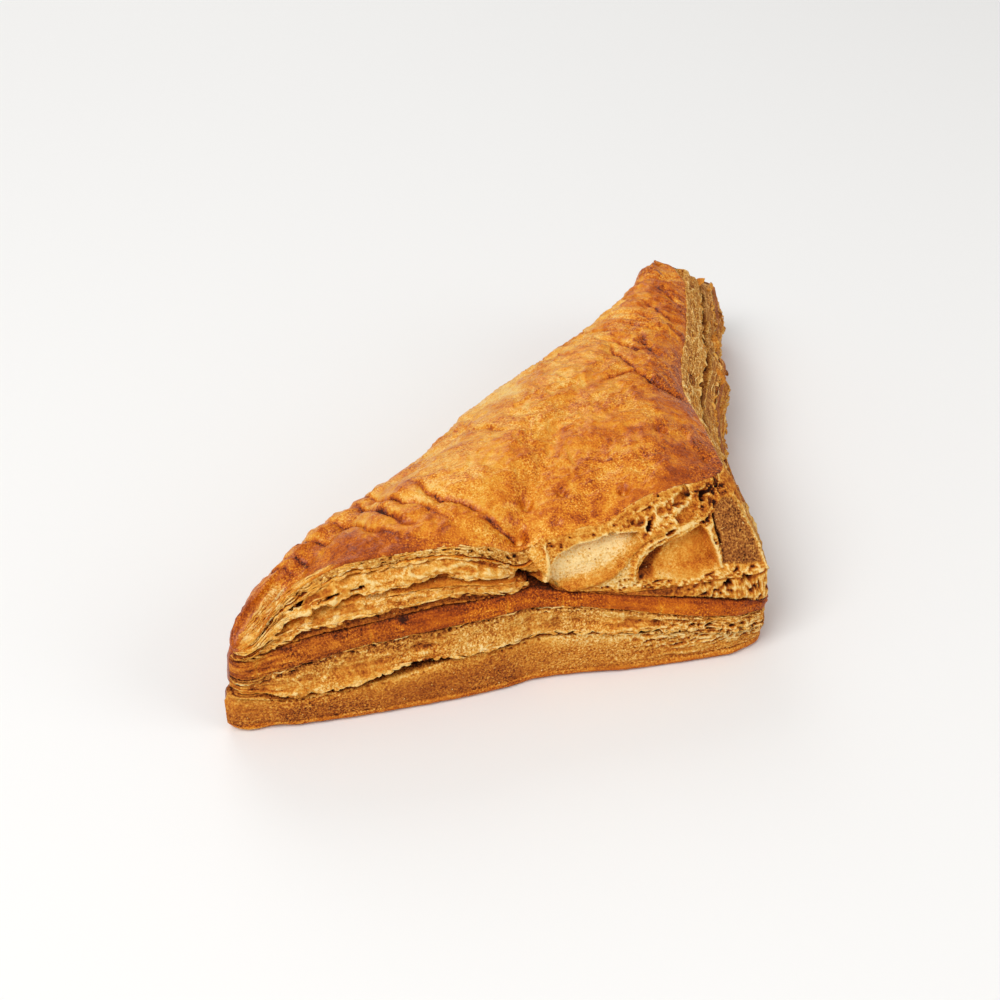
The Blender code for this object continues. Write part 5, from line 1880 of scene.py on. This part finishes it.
def finish_tree(tree, geometry, domain, fields, material, tear=None):
    """Real geometry with its named values and material, torn a little if asked."""
    for name, value in {**fields, "relief": 0.0}.items():
        geometry = add(tree, "GeometryNodeStoreNamedAttribute",
                       {"Geometry": geometry, "Name": name, "Value": value},
                       data_type="FLOAT", domain=domain)
    geometry = add(tree, "GeometryNodeRealizeInstances", {"Geometry": geometry})
    if tear:
        geometry = ragged(tree, geometry, *tear)
    geometry = add(tree, "GeometryNodeSetShadeSmooth", {"Geometry": geometry})
    geometry = add(tree, "GeometryNodeSetMaterial", {"Geometry": geometry, "Material": material})
    add(tree, "NodeGroupOutput", {"Geometry": geometry})


def grow(carrier, tree, values):
    """Run a tree on its carrier and keep what it makes as the carrier's own plain mesh."""
    modifier = carrier.modifiers.new(tree.name, "NODES")
    modifier.node_group = tree
    for item in tree.interface.items_tree:
        if item.item_type == "SOCKET" and item.in_out == "INPUT" and item.name in values:
            modifier[item.identifier] = values[item.name]
    depsgraph = bpy.context.evaluated_depsgraph_get()
    grown = carrier.evaluated_get(depsgraph)
    mesh = bpy.data.meshes.new_from_object(grown, preserve_all_data_layers=True, depsgraph=depsgraph)
    carrier.modifiers.remove(modifier)
    carrier.data = mesh
    print(carrier.name, "has", sum(len(face.vertices) - 2 for face in mesh.polygons), "triangles")
    return carrier


def line_carrier(name, paths):
    """Lines as a mesh of edges, with the way out of the wall stored on their points."""
    points, outs, edges = [], [], []
    for path, out in paths:
        first = sum(len(part) for part in points)
        points.append((np.array(path) - CENTRE_SHIFT) * MM)
        outs.append(np.array(out))
        edges.extend((first + k, first + k + 1) for k in range(len(path) - 1))
    mesh = bpy.data.meshes.new(name)
    mesh.from_pydata(np.vstack(points).tolist(), edges, [])
    layer = mesh.attributes.new("out", "FLOAT_VECTOR", "POINT")
    layer.data.foreach_set("vector", np.vstack(outs).ravel().astype(np.float32))
    carrier = bpy.data.objects.new(name, mesh)
    bpy.context.scene.collection.objects.link(carrier)
    return carrier


# %% [markdown]
# A leaf starts as a thin slab, a little wider at its root, bent along its depth. Its root
# is sunk in the wall, so nothing floats.

# %% Torn leaves along the edges
LEAVES_KEPT = 0.6
LEAF_SHAPE = (
    # result, operation, then numbers or earlier results
    ("depth", "DIVIDE", "place", "length"),
    ("depth", "ADD", "depth", 0.5),
    ("square", "MULTIPLY", "depth", "depth"),
    ("narrow", "MULTIPLY", "across", "square"),
    ("narrow", "MULTIPLY", "narrow", -0.55),
    ("sunk", "MULTIPLY", "length", 0.2),
    ("bend", "MULTIPLY", "square", "curl"),
)
LEAF_CHANCES = {
    "turn": ((-0.5, -0.3, -0.4), (0.5, 0.3, 0.4)),
    "scale": ((0.4, 0.4, 0.8), (1.8, 1.3, 1.2)),
    "bake": (0.05, 0.50),
    "crumb": (0.3, 0.9),
}
FRINGES = (
    # wall, line of its profile, side, from and to (x on the front, a share on the right),
    # and how far the leaves lean down in degrees
    ("upper_layers", 5.0, 0, -62.0, -13.0, 5),
    ("upper_layers", 10.0, 0, -60.0, -13.0, 55),
    ("upper_layers", 17.0, 0, -64.0, -10.0, 50),
    ("lower_ply", 9.0, 0, -58.0, 36.0, 55),
    ("upper_layers", 10.0, 1, 0.14, 0.95, 20),
    ("upper_layers", 17.0, 1, 0.10, 0.97, 10),
    ("lower_ply", 9.0, 1, 0.06, 0.97, 20),
)
TIP_FRINGES = (
    ("upper_layers", 9.5, 1, 0.62, 0.97, -20),
    ("upper_layers", 16.8, 1, 0.55, 0.97, -10),
    ("lower_ply", 5.0, 1, 0.50, 0.97, 0),
)


def edge_path(wall_name, line, side, start, stop, lean=0):
    """A torn edge of a wall as points, with the way each leaf on it should point."""
    grid, places, _ = FINISHED[wall_name]
    row = grid[np.abs(places - line).argmin()]
    along = row[:, 0] if side == 0 else SHARE
    kept = (SIDE == side) & (along > start) & (along < stop)
    out = np.column_stack([OUT[kept] * cos(radians(lean)), np.full(kept.sum(), -sin(radians(lean)))])
    return row[kept], out


def leaf_tree():
    """Small curled leaves along a line."""
    tree, given = new_tree("leaf_fringe", {
        "Spacing": "Float", "Leaf Size": "Vector", "Curl": "Float", "Browning": "Float",
        "Seed": "Int", "Material": "Material"})
    curve = add(tree, "GeometryNodeMeshToCurve", {"Mesh": given["Geometry"]})
    curve = add(tree, "GeometryNodeResampleCurve",
                {"Curve": curve, "Length": given["Spacing"]}, mode="LENGTH")
    slab = add(tree, "GeometryNodeMeshCube",
               {"Size": given["Leaf Size"], "Vertices X": 6, "Vertices Y": 4})
    spot = add(tree, "ShaderNodeSeparateXYZ", {0: add(tree, "GeometryNodeInputPosition")}).outputs
    size = add(tree, "ShaderNodeSeparateXYZ", {0: given["Leaf Size"]}).outputs
    bent = worked_out(tree, {"place": spot[1], "length": size[1], "across": spot[0],
                             "curl": given["Curl"]}, LEAF_SHAPE)
    shift = add(tree, "ShaderNodeCombineXYZ", {0: bent["narrow"], 1: bent["sunk"], 2: bent["bend"]})
    leaf = add(tree, "GeometryNodeSetPosition", {"Geometry": slab, "Offset": shift})
    out = add(tree, "GeometryNodeInputNamedAttribute", {"Name": "out"}, data_type="FLOAT_VECTOR")
    run = add(tree, "GeometryNodeInputTangent")
    turn = add(tree, "FunctionNodeAxesToRotation", {0: out, 1: run},
               primary_axis="Y", secondary_axis="X")
    drawn = draws(tree, given["Seed"], LEAF_CHANCES)
    tilt = add(tree, "FunctionNodeEulerToRotation", {0: drawn["turn"]})
    turn = add(tree, "FunctionNodeRotateRotation", {0: turn, 1: tilt}, rotation_space="LOCAL")
    kept = add(tree, "FunctionNodeRandomValue", {6: LEAVES_KEPT, "Seed": given["Seed"]},
               data_type="BOOLEAN")
    leaves = add(tree, "GeometryNodeInstanceOnPoints", {
        "Points": curve, "Selection": kept, "Instance": leaf, "Rotation": turn,
        "Scale": drawn["scale"]})
    bake = add(tree, "ShaderNodeMath", {0: drawn["bake"], 1: given["Browning"]}, operation="ADD")
    finish_tree(tree, leaves, "INSTANCE", {"bake": bake, "crumb": drawn["crumb"]},
                given["Material"], (1.1111 * MM, 0.6 * MM))
    return tree


leaf_fringe = leaf_tree()
torn_edges = line_carrier("torn_edges", [edge_path(*fringe) for fringe in FRINGES])
grow(torn_edges, leaf_fringe, {
    "Spacing": 1.7 * MM, "Leaf Size": (2.2 * MM, 0.6 * MM, 0.09 * MM), "Curl": -0.12 * MM,
    "Browning": 0.0, "Seed": 5, "Material": torn_layers})
tip_leaves = line_carrier("tip_leaves", [edge_path(*fringe) for fringe in TIP_FRINGES])
grow(tip_leaves, leaf_fringe, {
    "Spacing": 4.5 * MM, "Leaf Size": (5.0 * MM, 1.6 * MM, 0.16 * MM), "Curl": 0.5 * MM,
    "Browning": 0.22, "Seed": 8, "Material": torn_layers})

# %% [markdown]
# At the left tip the layers of the fold are drawn together and split into strands that
# fan out over the glaze. Each is a thin tube, thinner at both ends, laid just in the crust.

# %% Strands at the left tip
STRAND_START = -65.4
STRAND_POINTS = 40
STRAND_SPAN = ((-67.4, 0.4), (-66.0, 2.6), (-63.0, 4.4), (-59.5, 4.6), (-55.0, 4.2), (-50.5, 2.4),
               (-46.0, 0.6))
STRAND_SHARES = (0.04, 0.12, 0.21, 0.31, 0.41, 0.52, 0.63, 0.74, 0.86, 0.97)
STRAND_ENDS = (-46.0, -47.5, -49.0, -50.0, -51.5, -53.0, -54.0, -55.5, -57.0, -59.0)
STRAND_SHAPE = (
    # result, operation, then numbers or earlier results
    ("left", "SUBTRACT", 1.0, "share"),
    ("hill", "MULTIPLY", "share", "left"),
    ("hill", "MULTIPLY", "hill", 4.0),
    ("hill", "POWER", "hill", 0.4),
    ("width", "MULTIPLY_ADD", "hill", "whole", 0.12),
    ("varied", "SUBTRACT", "noise", 0.5),
    ("bake", "MULTIPLY_ADD", "varied", 1.6, "browning"),
)


def strand_paths():
    """Lines that fan out from the left tip over the crust."""
    lip = RINGS["lip"][:FRONT_COLUMNS]
    x_at, span_at = np.array(STRAND_SPAN).T
    close = top[top[:, 0] < max(STRAND_ENDS) + 2.0]
    paths = []
    for index, (share, end) in enumerate(zip(STRAND_SHARES, STRAND_ENDS)):
        x = np.linspace(STRAND_START + 0.5 * index % 1.7, end, STRAND_POINTS)
        y = np.interp(x, lip[:, 0], lip[:, 1]) + share * np.interp(x, x_at, span_at)
        apart = np.hypot(close[None, :, 0] - x[:, None], close[None, :, 1] - y[:, None])
        z = close[apart.argmin(1), 2] + 0.05
        kept = apart.min(1) < 0.6
        out = np.tile((0.0, -1.0, 0.0), (kept.sum(), 1))
        paths.append((np.column_stack([x, y, z])[kept], out))
    return paths


def strand_tree():
    """Thin strands along lines, pinched at both ends and thinned here and there."""
    tree, given = new_tree("strand_fan", {
        "Thickness": "Float", "Waver": "Float", "Browning": "Float", "Material": "Material"})
    curve = add(tree, "GeometryNodeMeshToCurve", {"Mesh": given["Geometry"]})
    curve = add(tree, "GeometryNodeResampleCurve", {"Curve": curve, "Length": 0.6 * MM},
                mode="LENGTH")
    curve = ragged(tree, curve, 2.2222 * MM, given["Waver"])
    profile = add(tree, "GeometryNodeCurvePrimitiveCircle",
                  {"Resolution": 6, "Radius": given["Thickness"]})
    profile = add(tree, "GeometryNodeTransform", {"Geometry": profile, "Scale": (0.7, 1.3, 1.0)})
    breaks = add(tree, "ShaderNodeTexNoise", {"Scale": 1 / (3.8462 * MM), "Detail": 1.0})
    whole = add(tree, "ShaderNodeMapRange", {0: breaks, 1: 0.40, 2: 0.56, 3: 0.2, 4: 1.0})
    noise = add(tree, "ShaderNodeTexNoise", {"Scale": 1 / (2.0 * MM), "Detail": 3.0})
    share = add(tree, "GeometryNodeSplineParameter")
    shape = worked_out(tree, {"share": share, "whole": whole, "noise": noise,
                              "browning": given["Browning"]}, STRAND_SHAPE)
    tube = add(tree, "GeometryNodeCurveToMesh", {
        "Curve": curve, "Profile Curve": profile, "Fill Caps": True, "Scale": shape["width"]})
    finish_tree(tree, tube, "POINT", {"bake": shape["bake"], "crumb": 0.35}, given["Material"])
    return tree


strand_fan = strand_tree()
tip_strands = line_carrier("tip_strands", strand_paths())
grow(tip_strands, strand_fan, {
    "Thickness": 0.22 * MM, "Waver": 1.2 * MM, "Browning": 0.22, "Material": torn_layers})

# %% [markdown]
# The same tree lays the edges of single layers along the walls: thin wavering lines that
# follow the courses, where the dough parted between two leaves.

# %% Layer lines along the walls
LAYER_LINES = {
    # wall and side, then the line of its profile and the stretch along the side
    ("upper_layers", 0): (
        (0.45, -65.0, -9.0), (1.00, -65.0, -12.0), (1.60, -65.0, -14.0), (2.30, -65.0, -12.0),
        (3.00, -66.0, -12.0), (5.05, -66.0, -12.0), (6.20, -67.0, -50.0), (7.00, -67.0, -54.0),
        (8.00, -67.0, -48.0), (9.00, -67.0, -52.0), (10.0, -66.0, -12.0), (13.6, -66.0, -12.0),
        (17.0, -66.0, -11.0)),
    ("lower_ply", 0): (
        (5.10, -64.0, 38.0), (9.00, -62.0, 38.0), (6.20, 8.0, 38.0), (7.40, 16.0, 38.0),
        (13.2, 4.0, 38.0), (14.1, 12.0, 38.0), (15.2, 18.0, 38.0)),
    ("upper_layers", 1): (
        (1.20, 0.06, 0.97), (3.60, 0.20, 0.97), (6.20, 0.10, 0.97), (8.40, 0.30, 0.97),
        (10.0, 0.06, 0.97), (13.6, 0.06, 0.97), (15.4, 0.20, 0.97), (17.0, 0.06, 0.97)),
    ("lower_ply", 1): (
        (2.20, 0.10, 0.97), (5.10, 0.06, 0.97), (7.20, 0.06, 0.97), (9.00, 0.06, 0.97)),
}
layer_paths = [edge_path(name, line, side, start, stop)
               for (name, side), lines in LAYER_LINES.items() for line, start, stop in lines]
layer_lines = line_carrier("layer_lines", layer_paths)
grow(layer_lines, strand_fan, {
    "Thickness": 0.15 * MM, "Waver": 1.3 * MM, "Browning": 0.20, "Material": torn_layers})

# %% [markdown]
# Crumbs are many-sided grains, pushed out of round, that cling where the cut is crumbly.

# %% Crumbs on the cut
CRUMB_STEP = 2
CRUMB_MARGIN = 6
BARE_CRUMB = 0.3
CRUMB_CHANCES = {
    "turn": ((0.0, 0.0, 0.0), (6.28, 6.28, 6.28)),
    "scale": ((0.5, 0.5, 0.4), (1.8, 1.4, 1.0)),
    "bake": (0.18, 0.65),
}


def crumb_bed():
    """The shown part of both walls as one surface, with how many crumbs each spot holds."""
    points, quads, holds = [], [], []
    for grid, _, crumb in FINISHED.values():
        shown = slice(0, FRONT_COLUMNS + RIGHT_COLUMNS - CRUMB_MARGIN, CRUMB_STEP)
        part = grid[2:-4:CRUMB_STEP, shown]
        rows, columns = part.shape[:2]
        first = sum(len(block) for block in points)
        number = first + np.arange(rows * columns).reshape(rows, columns)
        corners = (number[:-1, :-1], number[1:, :-1], number[1:, 1:], number[:-1, 1:])
        quads.extend(np.stack(corners, -1).reshape(-1, 4).tolist())
        points.append(part.reshape(-1, 3))
        holds.append(np.clip(crumb[2:-4:CRUMB_STEP, shown] - BARE_CRUMB, 0, 1).ravel())
    mesh = bpy.data.meshes.new("crumbs")
    mesh.from_pydata(((np.vstack(points) - CENTRE_SHIFT) * MM).tolist(), [], quads)
    layer = mesh.attributes.new("holds", "FLOAT", "POINT")
    layer.data.foreach_set("value", np.concatenate(holds).astype(np.float32))
    bed = bpy.data.objects.new("crumbs", mesh)
    bpy.context.scene.collection.objects.link(bed)
    return bed


def crumb_tree():
    """Crumbs scattered over a surface."""
    tree, given = new_tree("crumb_scatter", {
        "Density": "Float", "Radius": "Float", "Seed": "Int", "Material": "Material"})
    holds = add(tree, "GeometryNodeInputNamedAttribute", {"Name": "holds"}, data_type="FLOAT")
    density = add(tree, "ShaderNodeMath", {0: holds, 1: given["Density"]}, operation="MULTIPLY")
    spots = add(tree, "GeometryNodeDistributePointsOnFaces",
                {"Mesh": given["Geometry"], "Density": density, "Seed": given["Seed"]})
    speck = add(tree, "GeometryNodeMeshIcoSphere", {"Radius": given["Radius"], "Subdivisions": 1})
    drawn = draws(tree, given["Seed"], CRUMB_CHANCES)
    turn = add(tree, "FunctionNodeEulerToRotation", {0: drawn["turn"]})
    crumbs = add(tree, "GeometryNodeInstanceOnPoints",
                 {"Points": spots, "Instance": speck, "Rotation": turn, "Scale": drawn["scale"]})
    finish_tree(tree, crumbs, "INSTANCE", {"bake": drawn["bake"], "crumb": 1.0},
                given["Material"], (0.4 * MM, 0.15 * MM))
    return tree


crumbs = crumb_bed()
grow(crumbs, crumb_tree(), {
    "Density": 2.2e5, "Radius": 0.17 * MM, "Seed": 11, "Material": torn_layers})

# %% Hand the pieces over
PIECES = (glazed_crust, upper_layers, lower_ply, torn_edges, tip_leaves, tip_strands,
          layer_lines, crumbs)
for piece in PIECES:
    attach(piece, BODY)
    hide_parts(NODE)
print("finished pieces:", [piece.name for piece in PIECES])
